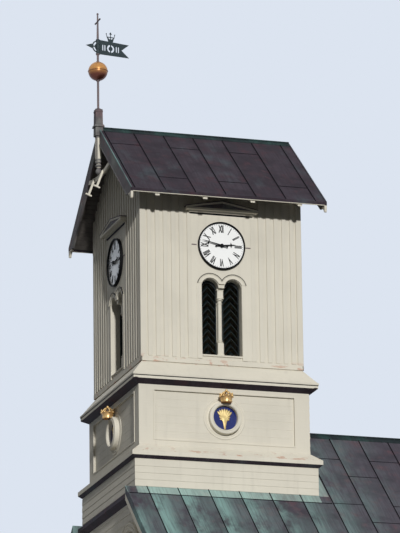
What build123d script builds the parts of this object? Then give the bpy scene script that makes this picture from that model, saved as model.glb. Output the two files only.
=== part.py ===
from build123d import *
import math
import os

# A timber church's clock tower, with the nave roof and the front gable that it stands on.
# X runs along the nave from the front gable, the south clock looks towards -Y, and Z = 0 is
# the level where this piece rests on the church body. The origin is in the middle of the
# front gable wall's foot. All sizes are millimetres.

# Widths of the three tower stages, over their cladding
base_stage_width = 4980.0
panel_stage_width = 4650.0
belfry_width = 4400.0
stage_wall = 300.0
belfry_wall = 350.0

# Heights of the tower, from the bottom up
facade_height = 3100.0
base_stage_height = 730.0
panel_stage_height = 1620.0
eave_height = 4420.0
seat_gap = 0.3
running_gap = 0.3

# Water tables between the stages: bed mould, fascia and sloping top
drip_reach = 105.0
lower_bed = 95.0
lower_fascia = 110.0
lower_slope = 220.0
upper_drip_reach = 200.0
upper_bed = 110.0
upper_fascia = 140.0
upper_slope = 405.0
bed_cove_ratio = 1.2
floor_ledge = 150.0
floor_thickness = 120.0

# Nave roof and its two end walls
nave_pitch = 42.25
nave_run = 5000.0
nave_roof_thickness = 160.0
gable_wall = 300.0
verge_reach = 280.0
ridge_cap_width = 150.0
ridge_cap_thickness = 24.0
flashing_width = 270.0
flashing_thickness = 8.0

# Front gable cornices and round windows
cornice_reach = 130.0
cornice_height = 320.0
cornice_slope = 100.0
cornice_fascia = 90.0
raking_depth = 260.0
raking_fascia = 120.0
raking_cove_radius = 260.0
cornice_cove_ratio = 1.4
window_spacing = 3900.0
window_height = 1250.0
window_radius = 850.0
window_frame_width = 140.0
window_frame_reach = 60.0
window_bar = 70.0
pane_thickness = 12.0

# Recessed panels and medallions of the panel stage
panel_side_margin = 415.0
panel_foot_margin = 180.0
panel_head_margin = 145.0
panel_recess = 45.0
medallion_radius = 570.0
medallion_disc_radius = 330.0
medallion_ring_thickness = 150.0
medallion_disc_thickness = 35.0
crest_width = 360.0
crest_height = 250.0
crest_thickness = 60.0

# Twin arched lights of the belfry
light_width = 470.0
light_gap = 160.0
light_sill = 280.0
light_spring = 2105.0
impost_height = 270.0
column_setback = 110.0
column_plinth_height = 355.0
column_radius = 58.0
surround_width = 110.0
surround_foot = 95.0
surround_thickness = 45.0
surround_gap = 15.0
louvre_setback = 220.0
louvre_depth = 75.0
louvre_pitch = 195.0
louvre_first = -147.0
louvre_rise = 255.0
louvre_board = 24.0
louvre_stile = 34.0

# Clocks
clock_height = 3240.0
dial_radius = 612.0
dial_thickness = 40.0
rim_width = 34.0
rim_thickness = 80.0
clock_panel_width = 1750.0
clock_panel_foot = 2570.0
clock_panel_thickness = 24.0
hood_width = 1950.0
hood_foot = 4165.0
hood_eave = 90.0
hood_rise = 180.0
hood_reach = 170.0
hood_bed = 50.0
arbor_radius = 16.0
hub_radius = 46.0
hand_thickness = 12.0
hand_gap = 18.0
minute_hand_length = 560.0
hour_hand_length = 395.0
hand_tail = 150.0
minute_hand_width = 34.0
hour_hand_width = 46.0
hand_crossbar_span = 150.0
hand_crossbar_width = 20.0
hand_crossbar_share = 0.66
hand_point_share = 0.82
hand_boss_share = 0.6
minute_hand_angle = 283.0
hour_hand_angle = 83.5

# Tower roof
tower_pitch = 40.0
eave_reach = 820.0
gable_reach = 500.0
tower_roof_thickness = 80.0
eave_fascia_thickness = 30.0
eave_fascia_depth = 85.0
bargeboard_thickness = 50.0
bargeboard_depth = 330.0
bracket_width = 120.0
bracket_depth = 210.0
bracket_tip_depth = 75.0
bracket_inset = 40.0
bracket_spacing = 1310.0
bracket_count = 4

# Finial post, rod, ball and weathervane
post_width = 215.0
post_top_width = 190.0
post_rise = 526.0
post_foot_drop = 225.0
post_collar_reach = 32.0
post_collar_height = 60.0
pendant_width = 150.0
pendant_drop = 935.0
pendant_bead_radius = 92.0
pendant_neck_radius = 48.0
pendant_bead_height = 70.0
pendant_bead_gap = 22.0
pendant_bead_count = 2
pendant_ball_radius = 85.0
pendant_ball_drop = 1215.0
collar_depth = 110.0
collar_sag = 120.0
truss_rod_width = 55.0
truss_rod_place = 400.0
truss_rod_length = 470.0
truss_rod_lean = 20.5
truss_foot_length = 180.0
truss_foot_depth = 40.0
rod_radius = 30.0
rod_tip_radius = 20.0
rod_length = 2720.0
ball_radius = 262.0
ball_height = 1090.0
rod_cross_height = 2510.0
rod_cross_length = 440.0
rod_cross_radius = 19.0
vane_height = 1790.0
vane_depth = 410.0
vane_length = 960.0
vane_fork = 230.0
vane_taper = 20.0
vane_thickness = 12.0
vane_yaw = 12.5
vane_ring_place = 395.0
vane_ring_radius = 110.0
vane_disc_radius = 62.0
vane_rib = 34.0
vane_slot_length = 165.0
vane_slot_width = 33.0
vane_slot_step = 66.0
vane_crown_foot = 130.0
vane_crown_width = 230.0
vane_crown_height = 130.0
vane_crown_finial = 240.0
vane_knob_radius = 20.0
vane_tube_radius = 46.0
vane_stop_radius = 52.0
vane_stop_height = 40.0
vane_scroll_radius = 175.0
vane_inner_scroll_radius = 95.0
vane_scroll_band = 34.0
vane_arrow_length = 190.0
vane_arrow_width = 130.0

# Half widths, levels and slopes that follow from the sizes above
base_half = base_stage_width / 2
panel_half = panel_stage_width / 2
belfry_half = belfry_width / 2
base_top = facade_height + base_stage_height
panel_foot = base_top + lower_bed + lower_fascia + lower_slope
panel_top = panel_foot + panel_stage_height
belfry_foot = panel_top + upper_bed + upper_fascia + upper_slope

nave_tan = math.tan(math.radians(nave_pitch))
nave_cos = math.cos(math.radians(nave_pitch))
nave_sin = math.sin(math.radians(nave_pitch))
nave_ridge = facade_height + base_half * nave_tan
nave_drop = nave_roof_thickness / nave_cos
nave_half = nave_ridge / nave_tan
nave_wall_half = (nave_ridge - nave_drop) / nave_tan

front_reach = base_half + verge_reach
rear_reach = base_half + nave_run
tower_x = base_half - gable_wall / 2
front_x = tower_x - base_half
verge_x = tower_x - front_reach
rear_x = tower_x + rear_reach

tower_tan = math.tan(math.radians(tower_pitch))
tower_cos = math.cos(math.radians(tower_pitch))
eave_half = belfry_half + eave_reach
verge_half = belfry_half + gable_reach
tower_ridge = belfry_foot + eave_height + eave_half * tower_tan
tower_drop = tower_roof_thickness / tower_cos
board_drop = bargeboard_depth / tower_cos

SIDES = {"south": (0, -1), "north": (0, 1), "west": (-1, 0), "east": (1, 0)}
across_plane = Plane(origin=(tower_x, 0, 0), x_dir=(0, 1, 0), z_dir=(1, 0, 0))
along_plane = Plane(origin=(tower_x, 0, 0), x_dir=(1, 0, 0), z_dir=(0, -1, 0))


def face_plane(side, reach, height):
    """A plane on one side of the tower: local x runs right, y up, z outwards."""
    nx, ny = SIDES[side]
    origin = (tower_x + nx * reach, ny * reach, height)
    return Plane(origin=origin, x_dir=(-ny, nx, 0), z_dir=(nx, ny, 0))


def nave_top(y):
    """Height of the nave roof's upper surface at a distance y from the ridge line."""
    return nave_ridge - abs(y) * nave_tan


def tower_top(y):
    """Height of the tower roof's upper surface at a distance y from its ridge line."""
    return tower_ridge - abs(y) * tower_tan


def polygon(points, place=(0, 0)):
    """A filled outline through corners given from one place, in the sketch that is open."""
    corners = [(place[0] + x, place[1] + y) for x, y in points]
    with BuildLine() as outline:
        Polyline(*corners, close=True)
    make_face(outline.edges())


def finish(piece, name):
    """Name a finished piece and write it."""
    piece.part.label = name
    export_step(piece.part, f"parts/{name}.step")


def stepped_outline(foot, half_below, half_drip, half_above, bed, fascia, slope):
    """Half of a water table's section: cove under a fascia under a sloping top."""
    drip = foot + bed
    top = drip + fascia
    with BuildLine() as outline:
        Line((0, foot), (half_below, foot))
        RadiusArc((half_below, foot), (half_drip, drip), bed * bed_cove_ratio)
        Line((half_drip, drip), (half_drip, top))
        Line((half_drip, top), (half_above, top + slope))
        Line((half_above, top + slope), (0, top + slope))
        mirror(about=Plane.YZ)
    make_face(outline.edges())


def water_table(foot, half_below, half_drip, half_above, bed, fascia, slope, bore_half):
    """A square ring of moulding, mitred at the corners, in the part that is open."""
    sizes = (foot, half_below, half_drip, half_above, bed, fascia, slope)
    with BuildSketch(along_plane) as along:
        stepped_outline(*sizes)
    extrude(along.sketch, amount=half_drip + 1, both=True)
    with BuildSketch(across_plane) as across:
        stepped_outline(*sizes)
    extrude(across.sketch, amount=half_drip + 1, both=True, mode=Mode.INTERSECT)
    with BuildSketch(Plane(origin=(tower_x, 0, foot))) as bore:
        Rectangle(2 * bore_half, 2 * bore_half)
    extrude(bore.sketch, amount=bed + fascia + slope, mode=Mode.SUBTRACT)


def wall_slab(side, half, thickness, foot, top):
    """One wall of a stage. The west and east walls carry the corners."""
    width = 2 * half if side in ("west", "east") else 2 * (half - thickness)
    with BuildSketch(face_plane(side, half, foot)) as elevation:
        with Locations((0, (top - foot) / 2)):
            Rectangle(width, top - foot)
    extrude(elevation.sketch, amount=-thickness)


os.makedirs("parts", exist_ok=True)


# Front gable wall, with its two round windows
def front_wall_outline():
    polygon([
        (-nave_wall_half, 0), (nave_wall_half, 0),
        (base_half, nave_top(base_half) - nave_drop), (base_half, facade_height),
        (-base_half, facade_height), (-base_half, nave_top(base_half) - nave_drop)])


def window_places():
    return Locations((-window_spacing / 2, window_height), (window_spacing / 2, window_height))


front_plane = Plane(origin=(front_x, 0, 0), x_dir=(0, -1, 0), z_dir=(-1, 0, 0))

with BuildPart() as front_gable_wall:
    with BuildSketch(front_plane):
        front_wall_outline()
        with window_places():
            Circle(window_radius, mode=Mode.SUBTRACT)
    extrude(amount=-gable_wall)
finish(front_gable_wall, "front_gable_wall")

with BuildPart() as round_window_frames:
    with BuildSketch(front_plane.offset(-gable_wall / 3)):
        with window_places():
            Circle(window_radius)
            Circle(window_radius - window_bar, mode=Mode.SUBTRACT)
            Rectangle(window_bar, 2 * window_radius - window_bar)
            Rectangle(2 * window_radius - window_bar, window_bar)
    extrude(amount=gable_wall / 3)
    with BuildSketch(front_plane):
        with window_places():
            Circle(window_radius + window_frame_width)
            Circle(window_radius - window_bar, mode=Mode.SUBTRACT)
    extrude(amount=window_frame_reach)
finish(round_window_frames, "round_window_frames")

with BuildPart() as round_window_panes:
    with BuildSketch(front_plane.offset(-gable_wall / 3)):
        with window_places():
            Circle(window_radius - window_bar / 2)
    extrude(amount=-pane_thickness)
finish(round_window_panes, "round_window_panes")

# Plain wall that closes the far end of the nave roof
with BuildPart() as nave_end_wall:
    with BuildSketch(Plane(origin=(rear_x, 0, 0), x_dir=(0, 1, 0), z_dir=(1, 0, 0))):
        polygon([(-nave_wall_half, 0), (nave_wall_half, 0), (0, nave_ridge - nave_drop)])
    extrude(amount=-gable_wall)
finish(nave_end_wall, "nave_end_wall")


# Nave roof: one slab to each side, fitted round the tower
def cut_tower_stages():
    """Take the two lower stages of the tower out of the part that is open."""
    for half, foot, top in ((base_half, 0, base_top), (panel_half, base_top, panel_top)):
        with BuildSketch(Plane(origin=(tower_x, 0, foot))) as plan:
            Rectangle(2 * half, 2 * half)
        extrude(plan.sketch, amount=top - foot, mode=Mode.SUBTRACT)


nave_length = rear_x - verge_x

for side, hand in (("south", -1), ("north", 1)):
    with BuildPart() as nave_roof:
        with BuildSketch(Plane(origin=(verge_x, 0, 0), x_dir=(0, 1, 0), z_dir=(1, 0, 0))):
            polygon([
                (0, nave_ridge), (hand * nave_half, 0),
                (hand * nave_wall_half, 0), (0, nave_ridge - nave_drop)])
        extrude(amount=nave_length)
        cut_tower_stages()
        with BuildSketch(Plane(origin=(tower_x, 0, 0))):
            with Locations((-front_reach / 2, 0)):
                Rectangle(front_reach, 2 * base_half)
        extrude(amount=nave_ridge, mode=Mode.SUBTRACT)
    finish(nave_roof, f"nave_roof_{side}")

cap_start = tower_x + base_half + flashing_width
with BuildPart() as nave_ridge_cap:
    with BuildSketch(Plane(origin=(cap_start, 0, 0), x_dir=(0, 1, 0), z_dir=(1, 0, 0))):
        polygon([
            (0, nave_ridge), (ridge_cap_width, nave_top(ridge_cap_width)),
            (ridge_cap_width, nave_top(ridge_cap_width) + ridge_cap_thickness),
            (0, nave_ridge + ridge_cap_thickness),
            (-ridge_cap_width, nave_top(ridge_cap_width) + ridge_cap_thickness),
            (-ridge_cap_width, nave_top(ridge_cap_width))])
    extrude(amount=rear_x - cap_start)
finish(nave_ridge_cap, "nave_ridge_cap")


# Metal strips that seal the roof against the foot of the tower
def flashing_outline(inner, outer):
    lift = flashing_thickness / nave_cos
    polygon([
        (inner, nave_top(inner)), (outer, nave_top(outer)),
        (outer, nave_top(outer) + lift), (inner, nave_top(inner) + lift)])


with BuildPart() as apron_flashings:
    for hand in (-1, 1):
        with BuildSketch(across_plane):
            flashing_outline(hand * base_half, hand * (base_half + flashing_width))
        extrude(amount=base_half - seat_gap, both=True)
    with BuildSketch(across_plane.offset(panel_half)):
        for hand in (-1, 1):
            flashing_outline(0, hand * (base_half - seat_gap))
    extrude(amount=base_half - panel_half + flashing_width)
    with BuildSketch(Plane(origin=(tower_x, 0, 0))):
        Rectangle(2 * base_half, 2 * base_half)
    extrude(amount=base_top, mode=Mode.SUBTRACT)
finish(apron_flashings, "apron_flashings")


# Front cornice at the tower's foot, and the raking cornices under the nave's verges
def cornice_outline(reach, height, fascia, slope):
    with BuildLine() as outline:
        Line((0, 0), (reach, -slope))
        Line((reach, -slope), (reach, -slope - fascia))
        RadiusArc((reach, -slope - fascia), (0, -height), -(height - slope - fascia) * cornice_cove_ratio)
        Line((0, -height), (0, 0))
    make_face(outline.edges())


with BuildPart() as front_cornice:
    with BuildSketch(Plane(origin=(front_x, base_half, facade_height), x_dir=(-1, 0, 0),
                           z_dir=(0, 1, 0))):
        cornice_outline(cornice_reach, cornice_height, cornice_fascia, cornice_slope)
    extrude(amount=-2 * base_half)
finish(front_cornice, "front_cornice")

with BuildPart() as raking_cornices:
    for hand in (-1, 1):
        start = (front_x, 0, nave_ridge - nave_drop)
        fascia_foot = (verge_reach, -hand * raking_fascia)
        wall_foot = (0, -hand * raking_depth)
        with BuildSketch(Plane(origin=start, x_dir=(-1, 0, 0),
                               z_dir=(0, hand * nave_cos, -nave_sin))):
            with BuildLine():
                Polyline((0, 0), (verge_reach, 0), fascia_foot)
                RadiusArc(fascia_foot, wall_foot, -hand * raking_cove_radius)
                Line(wall_foot, (0, 0))
            make_face()
        extrude(amount=nave_half / nave_cos + raking_depth)
    with BuildSketch(Plane(origin=(front_x, 0, 0))):
        Rectangle(4 * base_half, 4 * nave_half)
    extrude(amount=-nave_ridge, mode=Mode.SUBTRACT)
    with BuildSketch(Plane(origin=(front_x, 0, 0))):
        Rectangle(4 * base_half, 2 * base_half)
    extrude(amount=nave_ridge, mode=Mode.SUBTRACT)
finish(raking_cornices, "raking_cornices")

# Base stage: the shaft walls run down inside the roof, and the west wall stands on the gable
for side in SIDES:
    foot = facade_height if side == "west" else 0
    with BuildPart() as base_wall:
        wall_slab(side, base_half, stage_wall, foot, base_top)
        if side != "west":
            with BuildSketch(Plane(origin=(front_x, 0, 0))):
                with Locations((gable_wall / 2, 0)):
                    Rectangle(gable_wall, 2 * base_half)
            extrude(amount=facade_height, mode=Mode.SUBTRACT)
    finish(base_wall, f"base_wall_{side}")

with BuildPart() as lower_water_table:
    water_table(base_top, base_half, base_half + drip_reach, panel_half, lower_bed,
                lower_fascia, lower_slope, panel_half - stage_wall)
    rise = flashing_thickness / nave_cos
    with BuildSketch(across_plane.offset(panel_half)):
        polygon([(-nave_half, rise), (nave_half, rise), (0, nave_ridge + rise)])
    extrude(amount=base_half, mode=Mode.SUBTRACT)
finish(lower_water_table, "lower_water_table")

# Panel stage, with a sunk panel on the three sides that stand clear of the nave roof
sunk_width = panel_stage_width - 2 * panel_side_margin
sunk_height = panel_stage_height - panel_foot_margin - panel_head_margin
sunk_centre = panel_foot + panel_foot_margin + sunk_height / 2
medallion_sides = ("south", "north", "west")

for side in SIDES:
    with BuildPart() as panel_wall:
        wall_slab(side, panel_half, stage_wall, panel_foot, panel_top)
        if side in medallion_sides:
            with BuildSketch(face_plane(side, panel_half, sunk_centre)):
                Rectangle(sunk_width, sunk_height)
            extrude(amount=-panel_recess, mode=Mode.SUBTRACT)
    finish(panel_wall, f"panel_wall_{side}")


def medallion_plane(side):
    return face_plane(side, panel_half - panel_recess, sunk_centre)


with BuildPart() as medallion_rings:
    for side in medallion_sides:
        plane = medallion_plane(side)
        inner = medallion_disc_radius
        step = (medallion_radius - inner) / 3
        shoulder = medallion_ring_thickness / 2
        crown = medallion_radius - step
        with BuildSketch(Plane(origin=plane.origin, x_dir=plane.x_dir, z_dir=-plane.y_dir)):
            with BuildLine():
                Polyline((inner, 0), (inner, shoulder), (crown - step / 2, shoulder),
                         (crown - step / 4, medallion_ring_thickness),
                         (crown + step / 4, medallion_ring_thickness))
                RadiusArc((crown + step / 4, medallion_ring_thickness),
                          (medallion_radius, 0), medallion_ring_thickness)
                Line((medallion_radius, 0), (inner, 0))
            make_face()
        revolve(axis=Axis(plane.origin, plane.z_dir))
finish(medallion_rings, "medallion_rings")

with BuildPart() as medallion_discs:
    for side in medallion_sides:
        with BuildSketch(medallion_plane(side)):
            Circle(medallion_disc_radius)
        extrude(amount=medallion_disc_thickness)
finish(medallion_discs, "medallion_discs")

with BuildPart() as medallion_crests:
    for side in medallion_sides:
        with BuildSketch(medallion_plane(side).offset(medallion_ring_thickness)):
            polygon([
                (-crest_width / 3, -crest_height / 2), (crest_width / 3, -crest_height / 2),
                (crest_width / 2, crest_height / 4), (crest_width / 4, 0),
                (0, crest_height / 2), (-crest_width / 4, 0),
                (-crest_width / 2, crest_height / 4)],
                place=(0, medallion_radius - crest_height / 4))
        extrude(amount=crest_thickness)
finish(medallion_crests, "medallion_crests")

with BuildPart() as upper_water_table:
    water_table(panel_top, panel_half, panel_half + upper_drip_reach, belfry_half, upper_bed,
                upper_fascia, upper_slope, belfry_half - belfry_wall - floor_ledge)
finish(upper_water_table, "upper_water_table")

# Belfry: a floor on the ledge of the water table, and four walls with twin arched lights
belfry_inner = belfry_half - belfry_wall
light_radius = light_width / 2
light_place = (light_gap + light_width) / 2
impost_top = light_spring

with BuildPart() as belfry_floor:
    with BuildSketch(Plane(origin=(tower_x, 0, belfry_foot))):
        Rectangle(2 * belfry_inner, 2 * belfry_inner)
    extrude(amount=floor_thickness)
finish(belfry_floor, "belfry_floor")


def light_outline(place):
    """One arched light, from its sill to its crown."""
    with Locations((place, (light_sill + light_spring) / 2)):
        Rectangle(light_width, light_spring - light_sill)
    with Locations((place, light_spring)):
        Circle(light_radius)


for side in SIDES:
    with BuildPart() as belfry_wall_part:
        if side in ("west", "east"):
            with BuildSketch(face_plane(side, belfry_half, 0)):
                polygon([
                    (-belfry_half, belfry_foot), (belfry_half, belfry_foot),
                    (belfry_half, tower_top(belfry_half) - tower_drop),
                    (0, tower_ridge - tower_drop),
                    (-belfry_half, tower_top(belfry_half) - tower_drop)])
            extrude(amount=-belfry_wall)
        else:
            hand = SIDES[side][1]
            with BuildSketch(across_plane):
                polygon([
                    (hand * belfry_inner, belfry_foot), (hand * belfry_half, belfry_foot),
                    (hand * belfry_half, tower_top(belfry_half) - tower_drop),
                    (hand * belfry_inner, tower_top(belfry_inner) - tower_drop)])
            extrude(amount=belfry_inner, both=True)
        with BuildSketch(face_plane(side, belfry_half, belfry_foot)):
            light_outline(-light_place)
            light_outline(light_place)
        extrude(amount=-belfry_wall, mode=Mode.SUBTRACT)
        with BuildSketch(face_plane(side, belfry_half, belfry_foot)):
            with Locations((0, (light_sill + impost_top) / 2)):
                Rectangle(light_gap + light_width, impost_top - light_sill)
        extrude(amount=-column_setback - light_gap, mode=Mode.SUBTRACT)
    finish(belfry_wall_part, f"belfry_wall_{side}")

# Moulding over each pair of lights
with BuildPart() as arch_surrounds:
    for side in SIDES:
        with BuildSketch(face_plane(side, belfry_half, belfry_foot)):
            with Locations((-light_place, light_spring), (light_place, light_spring)):
                Circle(light_radius + surround_gap + surround_width)
            with Locations((-light_place, light_spring), (light_place, light_spring)):
                Circle(light_radius + surround_gap, mode=Mode.SUBTRACT)
            with Locations((0, light_spring + surround_foot - belfry_width / 2)):
                Rectangle(belfry_width, belfry_width, mode=Mode.SUBTRACT)
        extrude(amount=surround_thickness)
finish(arch_surrounds, "arch_surrounds")

# Colonnette between the lights: plinth, turned shaft with capital, and impost block
with BuildPart() as colonnettes:
    for side in SIDES:
        depth = column_setback + light_gap / 2
        foot_plane = Plane(face_plane(side, belfry_half - depth, belfry_foot + light_sill).origin)
        height = impost_top - light_sill
        shaft_top = height - impost_height
        with BuildSketch(foot_plane):
            Rectangle(light_gap, light_gap)
        extrude(amount=column_plinth_height)
        with BuildSketch(foot_plane.offset(shaft_top)):
            Rectangle(light_gap, light_gap)
        extrude(amount=impost_height)
        shaft_origin = foot_plane.origin
        with BuildSketch(Plane(origin=shaft_origin, x_dir=(1, 0, 0), z_dir=(0, -1, 0))):
            with BuildLine():
                roll = light_gap / 2 - column_radius
                low = column_plinth_height
                Polyline((0, low), (light_gap / 2, low), (light_gap / 2, low + roll))
                Line((light_gap / 2, low + roll), (column_radius, low + 2 * roll))
                Line((column_radius, low + 2 * roll), (column_radius, shaft_top - 3 * roll))
                Line((column_radius, shaft_top - 3 * roll), (light_gap / 2, shaft_top - roll))
                Polyline((light_gap / 2, shaft_top - roll), (light_gap / 2, shaft_top),
                         (0, shaft_top), (0, low))
            make_face()
        revolve(axis=Axis(shaft_origin, (0, 0, 1)))
finish(colonnettes, "colonnettes")


# Louvres: boards mitred to a chevron in a thin frame, one set in each light
def light_louvres(side, place):
    """The frame and the sloping boards of one light, as one solid."""
    front = face_plane(side, belfry_half - louvre_setback, belfry_foot)
    board_slope = Vector(0, 0, 1) - front.z_dir
    opening_height = light_spring - light_sill
    board_count = int((opening_height + light_radius - louvre_first) / louvre_pitch)
    with BuildPart() as light_set:
        with BuildSketch(front):
            light_outline(place)
            with Locations((place, light_sill + opening_height / 2)):
                Rectangle(light_width - 2 * louvre_stile, opening_height - 2 * louvre_stile,
                          mode=Mode.SUBTRACT)
            with Locations((place, light_spring - louvre_stile)):
                Circle(light_radius - louvre_stile, mode=Mode.SUBTRACT)
        extrude(amount=-louvre_depth)
        for row in range(board_count):
            with BuildSketch(front):
                polygon([
                    (-light_radius, 0), (0, louvre_rise), (light_radius, 0),
                    (light_radius, louvre_board), (0, louvre_rise + louvre_board),
                    (-light_radius, louvre_board)],
                    place=(place, light_sill + louvre_first + row * louvre_pitch))
            extrude(amount=louvre_depth * math.sqrt(2), dir=board_slope)
        with BuildSketch(front):
            light_outline(place)
        extrude(amount=-louvre_depth, mode=Mode.INTERSECT)
    return light_set.part


louvre_sets = [
    light_louvres(side, place) for side in SIDES for place in (-light_place, light_place)]

with BuildPart() as louvres:
    add(louvre_sets)
finish(louvres, "louvres")

# Clocks: a flush board, a small pedimented hood, the dial with its arbor, and a raised rim
clock_level = belfry_foot + clock_height
dial_reach = belfry_half + clock_panel_thickness
dial_front = dial_reach + dial_thickness

with BuildPart() as clock_panels:
    for side in SIDES:
        board_height = hood_foot - hood_bed - clock_panel_foot
        with BuildSketch(face_plane(side, belfry_half, belfry_foot + clock_panel_foot)):
            with Locations((0, board_height / 2)):
                Rectangle(clock_panel_width, board_height)
        extrude(amount=clock_panel_thickness)
finish(clock_panels, "clock_panels")

with BuildPart() as clock_hoods:
    for side in SIDES:
        with BuildSketch(face_plane(side, belfry_half, belfry_foot + hood_foot)):
            polygon([
                (-hood_width / 2, 0), (hood_width / 2, 0), (hood_width / 2, hood_eave),
                (0, hood_eave + hood_rise), (-hood_width / 2, hood_eave)])
        extrude(amount=hood_reach)
        with BuildSketch(face_plane(side, belfry_half, belfry_foot + hood_foot)):
            with Locations((0, -hood_bed / 2)):
                Rectangle(hood_width - hood_reach, hood_bed)
        extrude(amount=hood_reach / 2)
finish(clock_hoods, "clock_hoods")

hour_hand_front = dial_front + hand_gap + hand_thickness
minute_hand_front = hour_hand_front + hand_gap + hand_thickness
arbor_length = minute_hand_front + hand_thickness - dial_reach

with BuildPart() as clock_dials:
    for side in SIDES:
        with BuildSketch(face_plane(side, dial_reach, clock_level)):
            Circle(dial_radius)
        extrude(amount=dial_thickness)
        with BuildSketch(face_plane(side, dial_reach, clock_level)):
            Circle(arbor_radius)
        extrude(amount=arbor_length)
finish(clock_dials, "clock_dials")

with BuildPart() as dial_rims:
    for side in SIDES:
        with BuildSketch(face_plane(side, dial_reach, clock_level)):
            Circle(dial_radius + rim_width)
            Circle(dial_radius, mode=Mode.SUBTRACT)
        extrude(amount=rim_thickness)
finish(dial_rims, "dial_rims")


def hand_outline(length, width):
    """A clock hand that points up: a tapered blade with a crossbar, a hub and a tail."""
    point = length * hand_point_share
    bar = length * hand_crossbar_share
    polygon([
        (-width / 2, 0), (width / 2, 0), (width / 4, point), (0, length), (-width / 4, point)])
    polygon([
        (-hand_crossbar_span / 2, 0), (0, -hand_crossbar_width), (hand_crossbar_span / 2, 0),
        (0, hand_crossbar_width)], place=(0, bar))
    with Locations((0, bar)):
        Circle(width * hand_boss_share)
    polygon([
        (-width / 4, -hand_tail), (width / 4, -hand_tail), (width / 2, 0), (-width / 2, 0)])
    with Locations((0, -hand_tail)):
        Circle(width * hand_boss_share)
    Circle(hub_radius)
    Circle(arbor_radius + running_gap, mode=Mode.SUBTRACT)


hands = (
    ("minute", minute_hand_front, minute_hand_angle, minute_hand_length, minute_hand_width),
    ("hour", hour_hand_front, hour_hand_angle, hour_hand_length, hour_hand_width))

for side in SIDES:
    for kind, front, angle, length, width in hands:
        upright = face_plane(side, front, clock_level)
        turn = math.radians(angle)
        right = upright.x_dir * math.cos(turn) - upright.y_dir * math.sin(turn)
        with BuildPart() as clock_hand:
            with BuildSketch(Plane(upright.origin, right, upright.z_dir)):
                hand_outline(length, width)
            extrude(amount=-hand_thickness)
        finish(clock_hand, f"{kind}_hand_{side}")

# Finial post: a tapered post with a collar on the ridge, and a pendant with beads and a ball
post_x = tower_x - verge_half
post_top = tower_ridge + post_rise
turned_top = tower_ridge - pendant_drop
ball_centre = tower_ridge - pendant_ball_drop

with BuildPart() as finial_post:
    with BuildSketch(Plane(origin=(post_x, 0, tower_ridge - post_foot_drop))):
        Rectangle(post_width, post_width)
    with BuildSketch(Plane(origin=(post_x, 0, post_top))):
        Rectangle(post_top_width, post_top_width)
    loft()
    with BuildSketch(Plane(origin=(post_x, 0, tower_ridge + ridge_cap_thickness))):
        Rectangle(post_width + 2 * post_collar_reach, post_width + 2 * post_collar_reach)
    extrude(amount=post_collar_height, taper=math.degrees(
        math.atan(post_collar_reach / post_collar_height)) / 2)
    with BuildSketch(Plane(origin=(post_x, 0, turned_top))):
        Rectangle(pendant_width, pendant_width)
    extrude(amount=pendant_drop - post_foot_drop)
    with BuildSketch(Plane(origin=(post_x, 0, 0), x_dir=(1, 0, 0), z_dir=(0, -1, 0))):
        with BuildLine():
            level = turned_top
            Line((0, level), (pendant_neck_radius, level))
            for bead in range(pendant_bead_count):
                foot = level - pendant_bead_height
                ThreePointArc(
                    (pendant_neck_radius, level),
                    (pendant_bead_radius, level - pendant_bead_height / 2),
                    (pendant_neck_radius, foot))
                Line((pendant_neck_radius, foot), (pendant_neck_radius, foot - pendant_bead_gap))
                level = foot - pendant_bead_gap
            Polyline((pendant_neck_radius, level), (pendant_neck_radius, ball_centre),
                     (0, ball_centre), (0, turned_top))
        make_face()
    revolve(axis=Axis((post_x, 0, 0), (0, 0, 1)))
    with Locations((post_x, 0, ball_centre)):
        Sphere(pendant_ball_radius)
finish(finial_post, "finial_post")


def cut_post():
    """Take the finial post's square out of the part that is open."""
    foot = tower_ridge - board_drop - post_width
    with BuildSketch(Plane(origin=(post_x, 0, foot))) as plan:
        Rectangle(post_width, post_width)
    extrude(plan.sketch, amount=post_top - foot, mode=Mode.SUBTRACT)


# Tower roof: two slabs, a ridge cap, eave boards and bargeboards
slab_half = verge_half - bargeboard_thickness
slab_reach = eave_half - eave_fascia_thickness

for side, hand in (("south", -1), ("north", 1)):
    with BuildPart() as tower_roof:
        with BuildSketch(across_plane):
            polygon([
                (0, tower_ridge), (hand * slab_reach, tower_top(slab_reach)),
                (hand * slab_reach, tower_top(slab_reach) - tower_drop),
                (0, tower_ridge - tower_drop)])
        extrude(amount=slab_half, both=True)
        cut_post()
    finish(tower_roof, f"tower_roof_{side}")

with BuildPart() as tower_ridge_cap:
    with BuildSketch(across_plane):
        polygon([
            (0, tower_ridge), (ridge_cap_width, tower_top(ridge_cap_width)),
            (ridge_cap_width, tower_top(ridge_cap_width) + ridge_cap_thickness),
            (0, tower_ridge + ridge_cap_thickness),
            (-ridge_cap_width, tower_top(ridge_cap_width) + ridge_cap_thickness),
            (-ridge_cap_width, tower_top(ridge_cap_width))])
    extrude(amount=verge_half, both=True)
    with BuildSketch(Plane(origin=(post_x, 0, tower_ridge - post_width))):
        Rectangle(post_width, 4 * ridge_cap_width)
    extrude(amount=2 * post_width, mode=Mode.SUBTRACT)
finish(tower_ridge_cap, "tower_ridge_cap")

with BuildPart() as eave_boards:
    for hand in (-1, 1):
        foot = tower_top(eave_half) - eave_fascia_depth
        with BuildSketch(across_plane):
            polygon([
                (hand * slab_reach, tower_top(slab_reach)), (hand * eave_half, tower_top(eave_half)),
                (hand * eave_half, foot), (hand * slab_reach, foot)])
        extrude(amount=slab_half, both=True)
finish(eave_boards, "eave_boards")


def board_outline(hand):
    """One raking board, from the ridge to the eave, its end cut level with the eave board's foot."""
    eave_foot = tower_top(eave_half) - eave_fascia_depth
    level_cut = (tower_ridge - board_drop - eave_foot) / tower_tan
    polygon([
        (0, tower_ridge), (hand * eave_half, tower_top(eave_half)), (hand * eave_half, eave_foot),
        (hand * level_cut, eave_foot), (0, tower_ridge - board_drop)])


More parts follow.
